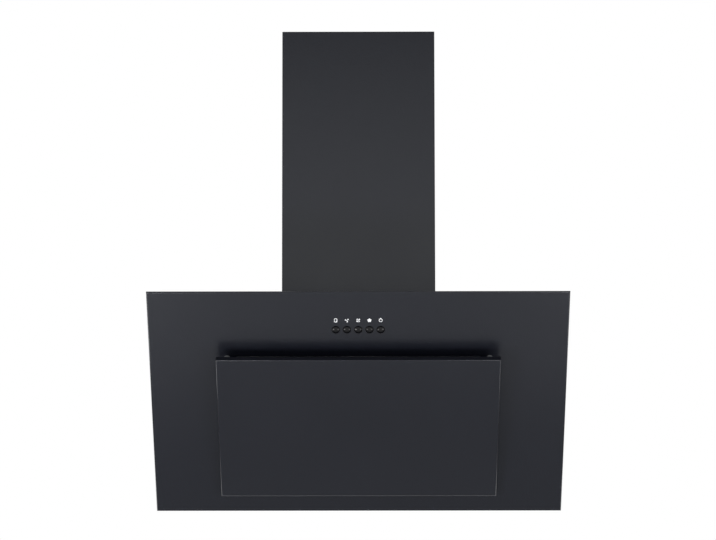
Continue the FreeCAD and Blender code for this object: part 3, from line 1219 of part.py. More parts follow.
def outlet_spigot():
    inner = SPIGOT_RADIUS - SPIGOT_WALL
    ledge_top = DAMPER_HEIGHT - DAMPER_THICKNESS / 2 - SEAT_GAP
    wall = rod(SPIGOT_RADIUS, outlet_level(0), outlet_level(SPIGOT_LENGTH))
    flange = rod(SPIGOT_RADIUS + SPIGOT_FLANGE_WIDTH, outlet_level(0), outlet_level(SPIGOT_FLANGE_THICKNESS))
    body = joined([wall, flange]).cut(rod(inner, outlet_level(-SHEET), outlet_level(2 * SPIGOT_LENGTH)))
    ledge = tube(inner + SHEET, inner - DAMPER_LEDGE_WIDTH,
                 outlet_level(ledge_top - DAMPER_LEDGE_HEIGHT), outlet_level(ledge_top))
    bar = box(-DAMPER_BAR_WIDTH / 2, DAMPER_BAR_WIDTH / 2, -OUTLET_FROM_WALL - inner - SHEET,
              -OUTLET_FROM_WALL + inner + SHEET, ROOF_TOP + ledge_top - DAMPER_LEDGE_HEIGHT,
              ROOF_TOP + ledge_top + DAMPER_BAR_HEIGHT)
    pin_holes = [rod(DAMPER_PIN_RADIUS + FIXED_GAP, *damper_pin_line(side, 2 * SPIGOT_RADIUS))
                 for side in (-1, 1)]
    return joined([body, ledge, bar]).cut(spigot_screw_holes() + pin_holes)


def damper_flap(side):
    """Half a disc with a barrel along its straight edge."""
    radius = SPIGOT_RADIUS - SPIGOT_WALL - DAMPER_RIM_GAP
    middle = DAMPER_HEIGHT
    half_thickness = DAMPER_THICKNESS / 2
    disc = rod(radius, outlet_level(middle - half_thickness), outlet_level(middle + half_thickness))
    x0, x1 = sorted((side * DAMPER_PIN_OFFSET, side * 2 * radius))
    half = disc.common(box(x0, x1, -OUTLET_FROM_WALL - 2 * radius, -OUTLET_FROM_WALL + 2 * radius,
                           ROOF_TOP, ROOF_TOP + SPIGOT_LENGTH))
    barrel = rod(DAMPER_BARREL_RADIUS, *damper_pin_line(side, DAMPER_BARREL_LENGTH / 2))
    bore = rod(DAMPER_PIN_RADIUS + RUNNING_GAP, *damper_pin_line(side, 2 * radius))
    return joined([half, barrel]).cut(bore)


def damper_pins():
    half = math.sqrt(SPIGOT_RADIUS ** 2 - DAMPER_PIN_OFFSET ** 2) - DAMPER_PIN_SHORT
    return group([rod(DAMPER_PIN_RADIUS, *damper_pin_line(side, half)) for side in (-1, 1)])


# ---- Chimney ---------------------------------------------------------------------------
def channel(half, front, rear, foot, top):
    """A U-shaped cover, open to the wall, with its rear edges folded inwards."""
    outline = [Vector(CHIMNEY_RETURN - half, rear, foot), Vector(-half, rear, foot),
               Vector(-half, front, foot), Vector(half, front, foot),
               Vector(half, rear, foot), Vector(half - CHIMNEY_RETURN, rear, foot)]
    return folded_sheet(outline, SHEET, ALONG_Z, top - foot)


def lower_chimney():
    cover = channel(CHIMNEY_WIDTH / 2, -CHIMNEY_DEPTH, 0, ROOF_TOP, CHIMNEY_TOP)
    return cover.cut([screw_hole(seat, ALONG_X, CHIMNEY_SCREW_LENGTH) for seat in foot_screw_seats()])


def bracket_screw_seats():
    """On the upper chimney's sides, level with its wall bracket's arms."""
    y = UPPER_REAR - SHEET - BRACKET_THICKNESS - BRACKET_SCREW_ALONG_ARM
    return [Vector(side * UPPER_HALF, y, BRACKET_MIDDLE_Z) for side in (-1, 1)]


def upper_chimney():
    cover = channel(UPPER_HALF, UPPER_FRONT, UPPER_REAR, TOP_Z + UPPER_FOOT_HEIGHT, UPPER_TOP)
    middle = -CHIMNEY_DEPTH / 2
    slots = []
    for row in range(VENT_SLOTS):
        z = UPPER_TOP - VENT_TOP_MARGIN - row * VENT_SLOT_PITCH
        slots.append(box(-BODY_WIDTH, BODY_WIDTH, middle - VENT_SLOT_LENGTH / 2,
                         middle + VENT_SLOT_LENGTH / 2, z - VENT_SLOT_HEIGHT, z))
    holes = [screw_hole(seat, ALONG_X, CHIMNEY_SCREW_LENGTH) for seat in bracket_screw_seats()]
    return cover.cut(slots + holes)


def upper_bracket():
    """The strip on the wall that the upper chimney is screwed to."""
    foot = BRACKET_MIDDLE_Z - BRACKET_HEIGHT / 2
    outer = UPPER_HALF - SHEET
    step = UPPER_REAR - SHEET
    right = [Vector(BRACKET_WALL_HALF, 0, foot), Vector(BRACKET_WALL_HALF, step, foot),
             Vector(outer, step, foot), Vector(outer, step - BRACKET_ARM, foot)]
    left = [Vector(-point.x, point.y, point.z) for point in reversed(right)]
    strip = folded_sheet(right[::-1] + left[::-1], BRACKET_THICKNESS, ALONG_Z, BRACKET_HEIGHT)
    centres = [Vector(side * BRACKET_HOLE_SPACING / 2, 0, BRACKET_MIDDLE_Z) for side in (-1, 1)]
    through = ALONG_Y * 2 * BRACKET_THICKNESS
    holes = [rod(BRACKET_HOLE_RADIUS, centre - through, centre + through) for centre in centres]
    holes += [screw_hole(seat, ALONG_X, CHIMNEY_SCREW_LENGTH) for seat in bracket_screw_seats()]
    return strip.cut(holes)


def foot_screw_seats():
    return [Vector(side * CHIMNEY_WIDTH / 2, -CHIMNEY_DEPTH / 2, TOP_Z + CHIMNEY_SCREW_HEIGHT)
            for side in (-1, 1)]


def foot_brackets():
    """Two angles on the roof, just inside the lower chimney's sides."""
    outer = CHIMNEY_WIDTH / 2 - SHEET
    y0 = -CHIMNEY_DEPTH / 2 - FOOT_BRACKET_DEPTH / 2
    corner = Vector(outer, y0, ROOF_TOP)
    line = [corner + ALONG_Z * FOOT_BRACKET_HEIGHT, corner, corner - ALONG_X * FOOT_BRACKET_BASE]
    right = folded_sheet(line, SHEET, ALONG_Y, FOOT_BRACKET_DEPTH)
    right = right.cut([screw_hole(seat, ALONG_X, CHIMNEY_SCREW_LENGTH) for seat in foot_screw_seats()])
    return group([right, mirrored(right)])


def sideways_screws(seats):
    return group([screw(seat, -ALONG_X if seat.x > 0 else ALONG_X, CHIMNEY_SCREW_LENGTH,
                        CHIMNEY_SCREW_HEAD_HEIGHT) for seat in seats])


# ---- All pieces ------------------------------------------------------------------------
def pieces():
    found = {
        "front_panel": front_panel(),
        "back_plate": back_plate(),
        "top_plate": top_plate(),
        "underside_plate": underside_plate(),
        "right_side_panel": right_side_panel(),
        "left_side_panel": mirrored(right_side_panel()),
        "body_screws": body_screws(),
        "filter_tray": filter_tray(),
        "filter_frame": filter_frame(),
        "filter_mesh": filter_mesh(),
        "filter_latch": filter_latch(),
        "latch_spring": latch_spring(),
        "flap_panel": flap_panel(),
        "flap_backing": flap_backing(),
        "hinge_pins": hinge_pins(),
        "hinge_rivets": hinge_rivets(),
        "catch_strikes": catch_strikes(),
        "switch_block": switch_block(),
        "button_springs": button_springs(),
        "led_boards": led_boards(),
        "led_driver": led_driver(),
        "blower_scroll": blower_scroll(),
        "blower_side_left": blower_side_left(),
        "blower_side_right": blower_side_right(),
        "blower_screws": blower_screws(),
        "impeller": impeller(),
        "motor_rotor": motor_rotor(),
        "motor_housing": motor_housing(),
        "motor_stator": motor_stator(),
        "motor_bearings": motor_bearings(),
        "motor_bracket": motor_bracket(),
        "rubber_mounts": rubber_mounts(),
        "capacitor": capacitor(),
        "capacitor_clip": capacitor_clip(),
        "terminal_box": terminal_box(),
        "cable_gland": cable_gland(),
        "outlet_spigot": outlet_spigot(),
        "damper_pins": damper_pins(),
        "lower_chimney": lower_chimney(),
        "upper_chimney": upper_chimney(),
        "upper_bracket": upper_bracket(),
        "foot_brackets": foot_brackets(),
        "foot_screws": sideways_screws(foot_screw_seats()),
    }
    for index, name in enumerate(BUTTON_NAMES):
        found["button_" + name] = push_button(index)
    for side, word in ((-1, "left"), (1, "right")):
        found["hinge_bracket_" + word] = fixed_hinge_leaf(side * HINGE_SPACING / 2)
        found["hinge_leaf_" + word] = moving_hinge_leaf(side * HINGE_SPACING / 2)
        found["catch_post_" + word] = catch_post(side)
        found["lamp_housing_" + word] = lamp_housing(side)
        found["lamp_lens_" + word] = lamp_lens(side)
        found["damper_" + word] = damper_flap(side)
    return found


def main():
    os.makedirs("parts", exist_ok=True)
    for name, shape in pieces().items():
        shape.exportStep("parts/%s.step" % name)
        print("%-20s solids %d  valid %s  volume %.0f" % (
            name, len(shape.Solids), shape.isValid(), shape.Volume))


main()
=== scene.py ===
"""The look of a wall chimney hood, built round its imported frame. Lengths are metres in the
frame's own axes: +X to the right, -Y to the front, +Z up, and the wall is the plane Y = 0."""

import json
import math

import bmesh
import bpy
from mathutils import Matrix, Vector

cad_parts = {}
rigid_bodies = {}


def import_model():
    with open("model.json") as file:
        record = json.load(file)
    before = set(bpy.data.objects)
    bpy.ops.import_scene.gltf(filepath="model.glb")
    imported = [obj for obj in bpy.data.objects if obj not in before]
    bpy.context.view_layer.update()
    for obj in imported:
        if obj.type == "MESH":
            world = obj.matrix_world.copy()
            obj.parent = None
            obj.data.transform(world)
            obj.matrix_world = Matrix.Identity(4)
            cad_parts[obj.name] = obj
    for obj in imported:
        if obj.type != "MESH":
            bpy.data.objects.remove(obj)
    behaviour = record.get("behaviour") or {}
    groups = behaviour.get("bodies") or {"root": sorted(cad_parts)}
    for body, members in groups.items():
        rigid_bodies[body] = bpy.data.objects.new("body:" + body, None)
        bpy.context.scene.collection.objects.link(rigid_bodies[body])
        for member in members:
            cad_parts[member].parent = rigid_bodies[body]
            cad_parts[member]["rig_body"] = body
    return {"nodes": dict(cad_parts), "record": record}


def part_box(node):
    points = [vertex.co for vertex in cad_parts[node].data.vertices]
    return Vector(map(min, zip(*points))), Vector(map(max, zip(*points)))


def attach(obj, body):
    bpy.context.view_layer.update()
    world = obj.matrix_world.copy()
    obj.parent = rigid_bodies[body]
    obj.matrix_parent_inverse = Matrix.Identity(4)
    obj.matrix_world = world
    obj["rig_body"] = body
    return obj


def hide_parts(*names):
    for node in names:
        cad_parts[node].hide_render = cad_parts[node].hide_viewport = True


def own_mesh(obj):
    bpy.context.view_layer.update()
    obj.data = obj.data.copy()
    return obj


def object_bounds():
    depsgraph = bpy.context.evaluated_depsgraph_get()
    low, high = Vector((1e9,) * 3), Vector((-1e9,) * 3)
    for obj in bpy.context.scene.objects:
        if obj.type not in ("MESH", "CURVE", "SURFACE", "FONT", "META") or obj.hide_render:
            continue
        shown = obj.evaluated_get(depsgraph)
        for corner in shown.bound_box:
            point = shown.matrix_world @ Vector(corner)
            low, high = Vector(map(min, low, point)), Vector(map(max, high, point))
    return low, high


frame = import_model()
CAD_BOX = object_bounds()

bl_info = {
    "name": "Chimney hood finish",
    "version": (1, 0, 0),
    "blender": (4, 5, 0),
    "location": "View3D > Sidebar > Chimney hood",
    "description": "Coats, buttons, symbols, filter mesh, lamps and screws of a chimney hood",
    "category": "Object",
}

SUFFIX = "_finish"                      # after the slot's name, in a material's name
MERGE_GAP = 2e-6                        # CAD vertices nearer than this are one
POLE_GAP = 1e-7                         # the same where a spun profile meets its own axis
FLAT_ANGLE = math.radians(0.4)          # faces nearer than this to one plane are one face
FLAT_WEIGHT = 100                       # how far flat faces outweigh bends in a shared normal
SHOWN_ANGLE = math.radians(35)          # edges sharper than this stay crisp
QUARTER = math.radians(90)

# The leaning face: its frame has its origin in the middle of the face's top edge, +X to the
# right, +Y into the body and +Z up along the face.
FACE_LEAN = math.radians(30)
FACE = Matrix.Translation((0, -0.350, 0.110)) @ Matrix.Rotation(FACE_LEAN, 4, "X")

# Buttons. Distances into the body run along the button from the face.
BUTTONS = ("off", "low", "medium", "high", "light")
BUTTON_DOWN = 0.0615                    # from the face's top edge
BUTTON_RIM = 0.0022                     # how far a cap stands out, without its crown
BUTTON_FLANGE = (0.0013, 0.0028, 0.0072)    # front, rear, radius
BUTTON_STEM = (0.0200, 0.0025)          # rear end, radius
DOME_STEPS = 14
CAP_STEPS = 48                          # round the button's axis

# Symbols.
RING_POINTS = 32
SYMBOL_DOWN = 0.0465                    # from the face's top edge
OFF_WIDTH = 0.36                        # half width, as a share of the size
SQUARE_POWER = 4                        # of the squared ellipse: 2 would be round
FAN_HUB = 0.10                          # radius, as a share of the size
FAN_HUB_POINTS = 16
FAN_GAP = 1.3                           # where a blade begins, in hub radii
FAN_START = 0.1                         # radians
FAN_SWEEP = 0.4                         # radians from a blade's root to its tip
FAN_STEPS = 8
FAN_TAPER = (0.35, 0.65)                # least share of a blade's breadth, and what swells on it
FAN_SWELL = (0.1, 0.75)                 # part of a half wave that the swelling follows
WHEEL_LOBES = 5
WHEEL_LOBE = 0.14                       # depth, as a share of the radius
WHEEL_POINTS = 40
BULB_ROUND = 0.86                       # radius, as a share of half the size
BULB_POINT = (0.34, 0.7, 1.4)           # height, half breadth in radians, sharpness

# Screws of the roof and of the chimney's foot.
SCREW_HEAD = 0.0038                     # radius
SCREW_SHANK = 0.0019                    # radius
ROOF_SCREW = (0.0016, 0.008)            # height of the head, length of the shank
CHIMNEY_SCREW = (0.0012, 0.006)
SCREW_ROUNDING = 0.6                    # as a share of the head's height
SCREW_FLOOR = 0.8                       # narrowing of the recess towards its floor
SCREW_STEPS = 16                        # round the screw's axis

# Grease filter and its latch, in the face's frame.
FILTER_TOP = -0.1067                    # Z of its top edge
FILTER_SIZE = (0.353, 0.211)            # width and height
FILTER_PACK = (0.0069, 0.0145)          # front and rear of the mesh
FILTER_EDGE = 0.0012                    # kept clear round the strands
LATCH_PLATE = (0.060, 0.028)            # width and height

# Lamp bezels.
LAMP_RIM = 0.033                        # radius
LAMP_BODY = 0.0277                      # radius
LAMP_CAVITY = 0.0262                    # radius
LAMP_LEDGE = 0.002                      # how far the ledge over the lens reaches in
LAMP_FLANGE = 0.001                     # thickness of the rim
LAMP_WALL = 0.0015                      # thickness of the housing's top
LAMP_STEPS = 64                         # round the lamp's axis

# Studio. For each softbox and card: place, point that it faces, width and height.
SOFTBOXES = {
    "top": ((0, -0.5, 3.0), (0, -0.4, 0.0), (3.0, 3.0)),
    "front": ((0, -4.0, 0.45), (0, -0.2, 0.2), (2.4, 1.5)),
    "key": ((-0.75, -1.05, -0.50), (-0.25, -0.3, 0.1), (0.34, 0.28)),
    "fill": ((0.75, -1.05, -0.50), (0.25, -0.3, 0.1), (0.34, 0.28)),
    "edge": ((0, -0.02, -0.50), (0, -0.2, -0.2), (0.9, 0.15)),
}
# Cards seen only in reflections: the first paints a dark reflection over the front, the second is
# a grey card under the hood that paints the floor's shade into reflections.
CARDS = {
    "flag_above": ((0, -1.70, 2.15), (0, -0.25, 0.10), (3.2, 3.8)),
    "flag_below": ((0, -0.375, -0.54), (0, -0.375, 0.5), (1.5, 0.45)),
}
SEEN_RAYS = ("Is Camera Ray", "Is Glossy Ray", "Is Transmission Ray")
SENSOR_WIDTH = 36                       # millimetres
CLIPPING = (0.1, 100)                   # nearest and farthest that the camera sees
RIM_FADE = (0.3, 0.9, 0.4)              # from and to, as shares of the floor; light added there
PAPER = (0.86, 0.86, 0.86, 1)
WHITE = (1, 1, 1, 1)
BLACK = (0, 0, 0, 1)


# ---- Shader maths ----------------------------------------------------------------------
class Term:
    """One shader output. Sums and products of it become Math nodes."""

    def __init__(self, owner, output):
        self.owner = owner
        self.output = output

    def maths(self, operation, first, second):
        inputs = {0: first, 1: second}
        return self.owner.node("ShaderNodeMath", {"operation": operation}, inputs)

    def __add__(self, other):
        return self.maths("ADD", self, other)

    def __radd__(self, other):
        return self.maths("ADD", other, self)

    def __sub__(self, other):
        return self.maths("SUBTRACT", self, other)

    def __rsub__(self, other):
        return self.maths("SUBTRACT", other, self)

    def __mul__(self, other):
        return self.maths("MULTIPLY", self, other)

    def __rmul__(self, other):
        return self.maths("MULTIPLY", other, self)

    def __truediv__(self, other):
        return self.maths("DIVIDE", self, other)

    def __pow__(self, other):
        return self.maths("POWER", self, other)

    def __abs__(self):
        return self.maths("ABSOLUTE", self, 0)

    def __gt__(self, other):
        return self.maths("GREATER_THAN", self, other)

    def __lt__(self, other):
        return self.maths("LESS_THAN", self, other)

    def limited(self, most):
        return self.maths("MINIMUM", self, most)

    def folded(self, half):
        """Runs up to `half` and back down again."""
        return self.maths("PINGPONG", self, half)


class Nodes:
    """A node tree whose nodes all come from `node`."""

    def __init__(self, tree):
        self.tree = tree

    def feed(self, socket, value):
        if isinstance(value, Term):
            self.tree.links.new(value.output, socket)
        else:
            socket.default_value = value

    def node(self, kind, settings=None, inputs=None, output=0):
        new = self.tree.nodes.new(kind)
        for name, value in (settings or {}).items():
            setattr(new, name, value)
        for name, value in (inputs or {}).items():
            self.feed(new.inputs[name], value)
        return Term(self, new.outputs[output])

    def seen(self):
        """1 for what is seen straight, in a reflection or through glass, and 0 elsewhere."""
        camera, glossy, through = [
            self.node("ShaderNodeLightPath", output=ray) for ray in SEEN_RAYS]
        return (camera + glossy + through).limited(1)


class Finish(Nodes):
    """A material on one Principled shader."""

    def __init__(self, name, **constants):
        self.material = bpy.data.materials.new(name + SUFFIX)
        self.material.use_nodes = True
        super().__init__(self.material.node_tree)
        self.shader = self.tree.nodes["Principled BSDF"]
        self.surface(**constants)

    def surface(self, **values):
        """Sets or links the shader's sockets: base_color stands for "Base Color", and so on."""
        for name, value in values.items():
            socket = name.replace("_", " ").title().replace("Ior", "IOR")
            self.feed(self.shader.inputs[socket], value)

    def place(self, scale=(1, 1, 1), turn=(0, 0, 0), shift=(0, 0, 0)):
        """Object coordinates, moved, turned and stretched."""
        coordinates = self.node("ShaderNodeTexCoord", output="Object")
        return self.node("ShaderNodeMapping", inputs={
            "Vector": coordinates, "Scale": scale, "Rotation": turn, "Location": shift})

    def along(self, place, axis):
        """One of the three parts of a place or a colour."""
        return self.node("ShaderNodeSeparateXYZ", inputs={0: place}, output="XYZ".index(axis))

    def noise(self, place, size, detail=2.0, roughness=0.5):
        """Noise whose features are `size` metres wide."""
        return self.node("ShaderNodeTexNoise", inputs={
            "Vector": place, "Scale": 1 / size, "Detail": detail, "Roughness": roughness})

    def cells(self, place, size, output="Distance"):
        """Cells about `size` metres wide: how far their middles are, or a colour for each."""
        inputs = {"Vector": place, "Scale": 1 / size}
        return self.node("ShaderNodeTexVoronoi", inputs=inputs, output=output)

    def blend(self, factor, first, second):
        """Goes from the first colour to the second."""
        inputs = {0: factor, 6: first, 7: second}
        return self.node("ShaderNodeMix", {"data_type": "RGBA"}, inputs, output=2)

    def shaded(self, colour, shade):
        """`colour` times a factor that changes over the surface."""
        inputs = {0: colour[:3], "Scale": shade}
        return self.node("ShaderNodeVectorMath", {"operation": "SCALE"}, inputs)

    def bump(self, height, depth):
        """Raises the surface by up to `depth` metres."""
        inputs = {"Height": height, "Distance": depth, "Strength": 1.0}
        return self.node("ShaderNodeBump", inputs=inputs)


# ---- Finishes --------------------------------------------------------------------------
# The sizes and depths are metres. In each sum, the first number is the level of the plain
# surface and the others are how far the patterns move it.
def satin_coat(name, coat):
    """Powder coat: faint clouds and a satin grain, in colour and roughness, and orange peel."""
    finish = Finish(name, specular_ior_level=coat.shine, specular_tint=coat.sheen)
    place = finish.place()
    clouds = finish.noise(place, coat.cloud_size)
    grain = finish.noise(place, coat.grain_size, detail=3, roughness=0.6)
    peel = finish.noise(place, coat.peel_size)
    finish.surface(
        base_color=finish.shaded(coat.colour, 0.90 + clouds * 0.12 + grain * 0.08),
        roughness=coat.roughness + (clouds - 0.5) * 0.06 + (grain - 0.5) * 0.10,
        normal=finish.bump(peel + grain * 0.35, coat.peel_depth))
    return finish.material


def zinc_steel(name, colour):
    """Hot-dipped sheet: crystals that each catch the light in their own way."""
    finish = Finish(name, metallic=1.0)
    place = finish.place()
    crystal = finish.along(finish.cells(place, size=0.011, output="Color"), "X")
    frost = finish.noise(place, size=0.0022, detail=4, roughness=0.65)
    stain = finish.noise(place, size=0.09, detail=3)
    finish.surface(
        base_color=finish.shaded(colour, 0.78 + crystal * 0.20 + frost * 0.10 - stain * 0.06),
        roughness=0.30 + crystal * 0.16 + frost * 0.10 + stain * 0.06,
        normal=finish.bump(frost + crystal * 0.4, depth=0.00003))
    return finish.material


def brushed_metal(name, colour, grain, roughness):
    """Rolled or drawn metal; `grain` is how many marks there are to a metre along each axis."""
    finish = Finish(name, metallic=1.0)
    lines = finish.noise(finish.place(scale=grain), size=1.0, detail=3, roughness=0.6)
    patches = finish.noise(finish.place(), size=0.04, detail=3)
    finish.surface(
        base_color=finish.shaded(colour, 0.86 + lines * 0.16 + patches * 0.08),
        roughness=roughness + lines * 0.14 + patches * 0.08,
        normal=finish.bump(lines, depth=0.00002))
    return finish.material


def mesh_layers(name, colour):
    """Many thin layers of expanded aluminium seen from their face: small dark diamonds of painted
    shade, where one looks into the openings between the strands.
    """
    finish = Finish(name, metallic=1.0)
    place = finish.place(turn=(-FACE_LEAN, 0, 0))
    diamond_width, diamond_height = 0.0030, 0.0017
    across = finish.along(place, "X") / diamond_width
    up = finish.along(place, "Z") / diamond_height
    first = (across + up).folded(0.5) * 2
    second = (across - up).folded(0.5) * 2
    strand = 1 - (1 - first) * (1 - second)
    # Plain noise: it varies the tone, the roughness and the size of the openings at random.
    depth = finish.noise(place, size=0.004, detail=3)
    # The openings are painted darker: painted shade in the depth behind the strands.
    open_shade = (strand < 0.55 + depth * 0.2) * 0.85
    finish.surface(
        base_color=finish.shaded(colour, (1 - open_shade) * (0.6 + depth * 0.4)),
        roughness=0.38 + depth * 0.2,
        normal=finish.bump(strand, depth=0.0004))
    return finish.material


def gloss_plastic(name, colour):
    """Polished moulding with the faintest waviness."""
    finish = Finish(name, specular_ior_level=0.22)
    place = finish.place()
    wave = finish.noise(place, size=0.004, detail=1)
    smudge = finish.noise(place, size=0.0015, detail=3)
    finish.surface(
        base_color=finish.shaded(colour, 0.9 + smudge * 0.2),
        roughness=0.06 + smudge * 0.07,
        normal=finish.bump(wave, depth=0.00001))
    return finish.material


def moulded_plastic(name, colour, roughness=0.45):
    """Spark-eroded texture of a plain moulding."""
    finish = Finish(name)
    place = finish.place()
    texture = finish.noise(place, size=0.0007, detail=3, roughness=0.6)
    flow = finish.noise(place, size=0.02)
    finish.surface(
        base_color=finish.shaded(colour, 0.92 + texture * 0.08 + flow * 0.08),
        roughness=roughness + texture * 0.14,
        normal=finish.bump(texture, depth=0.00004))
    return finish.material


def plated_steel(name, colour, roughness=0.32, metallic=1.0):
    """Small turned or headed parts: fine tumbling marks."""
    finish = Finish(name, metallic=metallic)
    place = finish.place()
    marks = finish.noise(place, size=0.0006, detail=4, roughness=0.65)
    tarnish = finish.noise(place, size=0.003, detail=3)
    finish.surface(
        base_color=finish.shaded(colour, 0.8 + marks * 0.15 + tarnish * 0.2),
        roughness=roughness + marks * 0.12 + tarnish * 0.08,
        normal=finish.bump(marks, depth=0.00002))
    return finish.material


def stacked_steel(name, colour):
    """Thin laminations, edge on."""
    finish = Finish(name, metallic=0.9)
    lamination = 0.0005
    sheet = (finish.along(finish.place(), "X") / lamination).folded(0.5) * 2
    scale = finish.noise(finish.place(), size=0.002, detail=3)
    finish.surface(
        base_color=finish.shaded(colour, 0.6 + sheet * 0.3 + scale * 0.2),
        roughness=0.45 + scale * 0.2,
        normal=finish.bump(sheet, depth=0.00008))
    return finish.material


def sintered_bronze(name, colour):
    """Pressed powder, full of pores, with painted shade in them."""
    finish = Finish(name, metallic=1.0)
    pores_and_shade = finish.cells(finish.place(), size=0.0006)
    finish.surface(
        # The base colour is darker towards each pore's middle: painted shade in the pores.
        base_color=finish.shaded(colour, 0.6 + pores_and_shade * 0.6),
        roughness=0.55 - pores_and_shade * 0.2,
        normal=finish.bump(pores_and_shade, depth=0.00005))
    return finish.material


def lamp_board(name, colour):
    """White solder mask, with yellow phosphor on the chips that stand under it."""
    finish = Finish(name)
    place = finish.place()
    chip_height = 0.0007
    chips = finish.along(place, "Z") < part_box("led_boards")[0].z + chip_height
    tracks = finish.noise(place, size=0.003, detail=1)
    phosphor = (0.85, 0.62, 0.12, 1)
    finish.surface(
        base_color=finish.blend(chips, finish.shaded(colour, 0.9 + tracks * 0.15), phosphor),
        roughness=0.35 + chips * 0.2,
        normal=finish.bump(tracks > 0.5, depth=0.00003))
    return finish.material


def frosted_lens(name, colour):
    """Diffusing glass with fine concentric prisms."""
    finish = Finish(name, transmission_weight=0.75, ior=1.49)
    place = finish.place()
    middle = middle_of("lamp_lens_right")
    side = abs(finish.along(place, "X")) - abs(middle.x)
    depth = finish.along(place, "Y") - middle.y
    radius = (side * side + depth * depth) ** 0.5
    prism_width = 0.0012
    prism = (radius / prism_width).folded(0.5) * 2
    frost = finish.noise(place, size=0.0005)
    finish.surface(
        base_color=finish.shaded(colour, 0.9 + prism * 0.1),
        roughness=0.22 + frost * 0.1,
        normal=finish.bump(prism + frost * 0.2, depth=0.00015))
    return finish.material


def print_ink(name, colour):
    """Screen print with the grain of its mesh."""
    finish = Finish(name)
    grain = finish.noise(finish.place(), size=0.0003, detail=3)
    finish.surface(
        base_color=finish.shaded(colour, 0.88 + grain * 0.16),
        roughness=0.5 + grain * 0.2,
        normal=finish.bump(grain, depth=0.00001))
    return finish.material


def moulded_rubber(name, colour):
    """Matt rubber with a pale bloom."""
    finish = Finish(name, specular_ior_level=0.3)
    place = finish.place()
    bloom = finish.noise(place, size=0.005, detail=3)
    skin = finish.noise(place, size=0.0008)
    finish.surface(
        base_color=finish.shaded(colour, 0.8 + bloom * 0.6),
        roughness=0.68 + skin * 0.2,
        normal=finish.bump(skin, depth=0.00005))
    return finish.material


# ---- Finishes by slot ------------------------------------------------------------------
SHEET_GRAIN = (3, 900, 900)             # marks to a metre: hairlines along X
WIRE_GRAIN = (300, 300, 300)

# For each slot of the record but the coated ones: finish, colour and further settings.
SLOTS = {
    "zinc_steel": (zinc_steel, (0.60, 0.62, 0.64), {}),
    "filter_aluminium": (brushed_metal, (0.60, 0.61, 0.62),
                         {"grain": SHEET_GRAIN, "roughness": 0.36}),
    "filter_mesh": (mesh_layers, (0.66, 0.67, 0.68), {}),
    "button_gloss": (gloss_plastic, (0.004, 0.004, 0.005), {}),
    "black_plastic": (moulded_plastic, (0.020, 0.020, 0.022), {}),
    "grey_plastic": (moulded_plastic, (0.15, 0.155, 0.16), {}),
    "white_plastic": (moulded_plastic, (0.74, 0.74, 0.71), {"roughness": 0.35}),
    "lens": (frosted_lens, (0.92, 0.94, 0.95), {}),
    "circuit_board": (lamp_board, (0.78, 0.79, 0.76), {}),
    "screw_steel": (plated_steel, (0.62, 0.62, 0.60), {}),
    "black_screw": (plated_steel, (0.020, 0.020, 0.022), {"roughness": 0.42, "metallic": 0.0}),
    "spring_steel": (plated_steel, (0.50, 0.51, 0.53), {"roughness": 0.28}),
    "laminations": (stacked_steel, (0.34, 0.33, 0.32), {}),
    "bronze": (sintered_bronze, (0.60, 0.36, 0.16), {}),
    "rubber": (moulded_rubber, (0.014, 0.014, 0.014), {}),
}


def slot_finishes(look):
    """One material for each slot of the record."""
    finishes = {slot: satin_coat(slot, look) for slot in ("powder_coat", "lamp_bezel")}
    for slot, (finish, colour, changes) in SLOTS.items():
        finishes[slot] = finish(slot, colour, **changes)
    return finishes


def slot_finish(slot):
    """The material that `slot_finishes` made for a slot."""
    return bpy.data.materials[slot + SUFFIX]


def coat(item, material):
    item.data.materials.clear()
    item.data.materials.append(material)


# ---- Modelling -------------------------------------------------------------------------
def placed(name, data):
    """A new object in the scene."""
    item = bpy.data.objects.new(name, data)
    bpy.context.scene.collection.objects.link(item)
    return item


def meshed(name, shape):
    """Ends a bmesh as a mesh."""
    mesh = bpy.data.meshes.new(name)
    shape.to_mesh(mesh)
    shape.free()
    return mesh


def made(name, shape, material, body, replaced=()):
    """A piece: outward normals, soft curves, crisp edges, a finish and a body to ride on."""
    bmesh.ops.recalc_face_normals(shape, faces=shape.faces)
    mesh = meshed(name, shape)
    mesh.shade_smooth()
    mesh.set_sharp_from_angle(angle=SHOWN_ANGLE)
    item = placed(name, mesh)
    coat(item, material)
    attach(item, body)
    if replaced:
        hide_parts(*replaced)
    return item


def copied(node):
    """A merged copy of a CAD node's mesh, with one face for each flat stretch."""
    shape = bmesh.new()
    shape.from_mesh(frame["nodes"][node].data)
    bmesh.ops.remove_doubles(shape, verts=shape.verts, dist=MERGE_GAP)
    bmesh.ops.dissolve_limit(shape, angle_limit=FLAT_ANGLE, verts=shape.verts,
                             edges=shape.edges)
    return shape


def evened(item):
    """Lets the large flat faces set the normals that they share with a bend."""
    modifier = item.modifiers.new("evened", "WEIGHTED_NORMAL")
    modifier.keep_sharp = True
    modifier.weight = FLAT_WEIGHT


def arc(radius, height, across, along, start, end, steps=4):
    """Points of a profile's rounded corner, from `start` to `end` degrees round its centre."""
    angles = [math.radians(start + (end - start) * step / steps) for step in range(steps + 1)]
    return [(radius + across * math.cos(angle), height + along * math.sin(angle))
            for angle in angles]


def turned(shape, profile, place, steps):
    """Spins (radius, height) points about the Z axis of `place`, into `shape`."""
    points = [shape.verts.new((radius, 0, height)) for radius, height in profile]
    edges = [shape.edges.new(pair) for pair in zip(points, points[1:])]
    bmesh.ops.spin(shape, geom=points + edges, cent=(0, 0, 0), axis=(0, 0, 1),
                   angle=2 * math.pi, steps=steps, use_merge=True)
    bmesh.ops.remove_doubles(shape, verts=shape.verts, dist=POLE_GAP)
    bmesh.ops.transform(shape, matrix=place, verts=shape.verts)


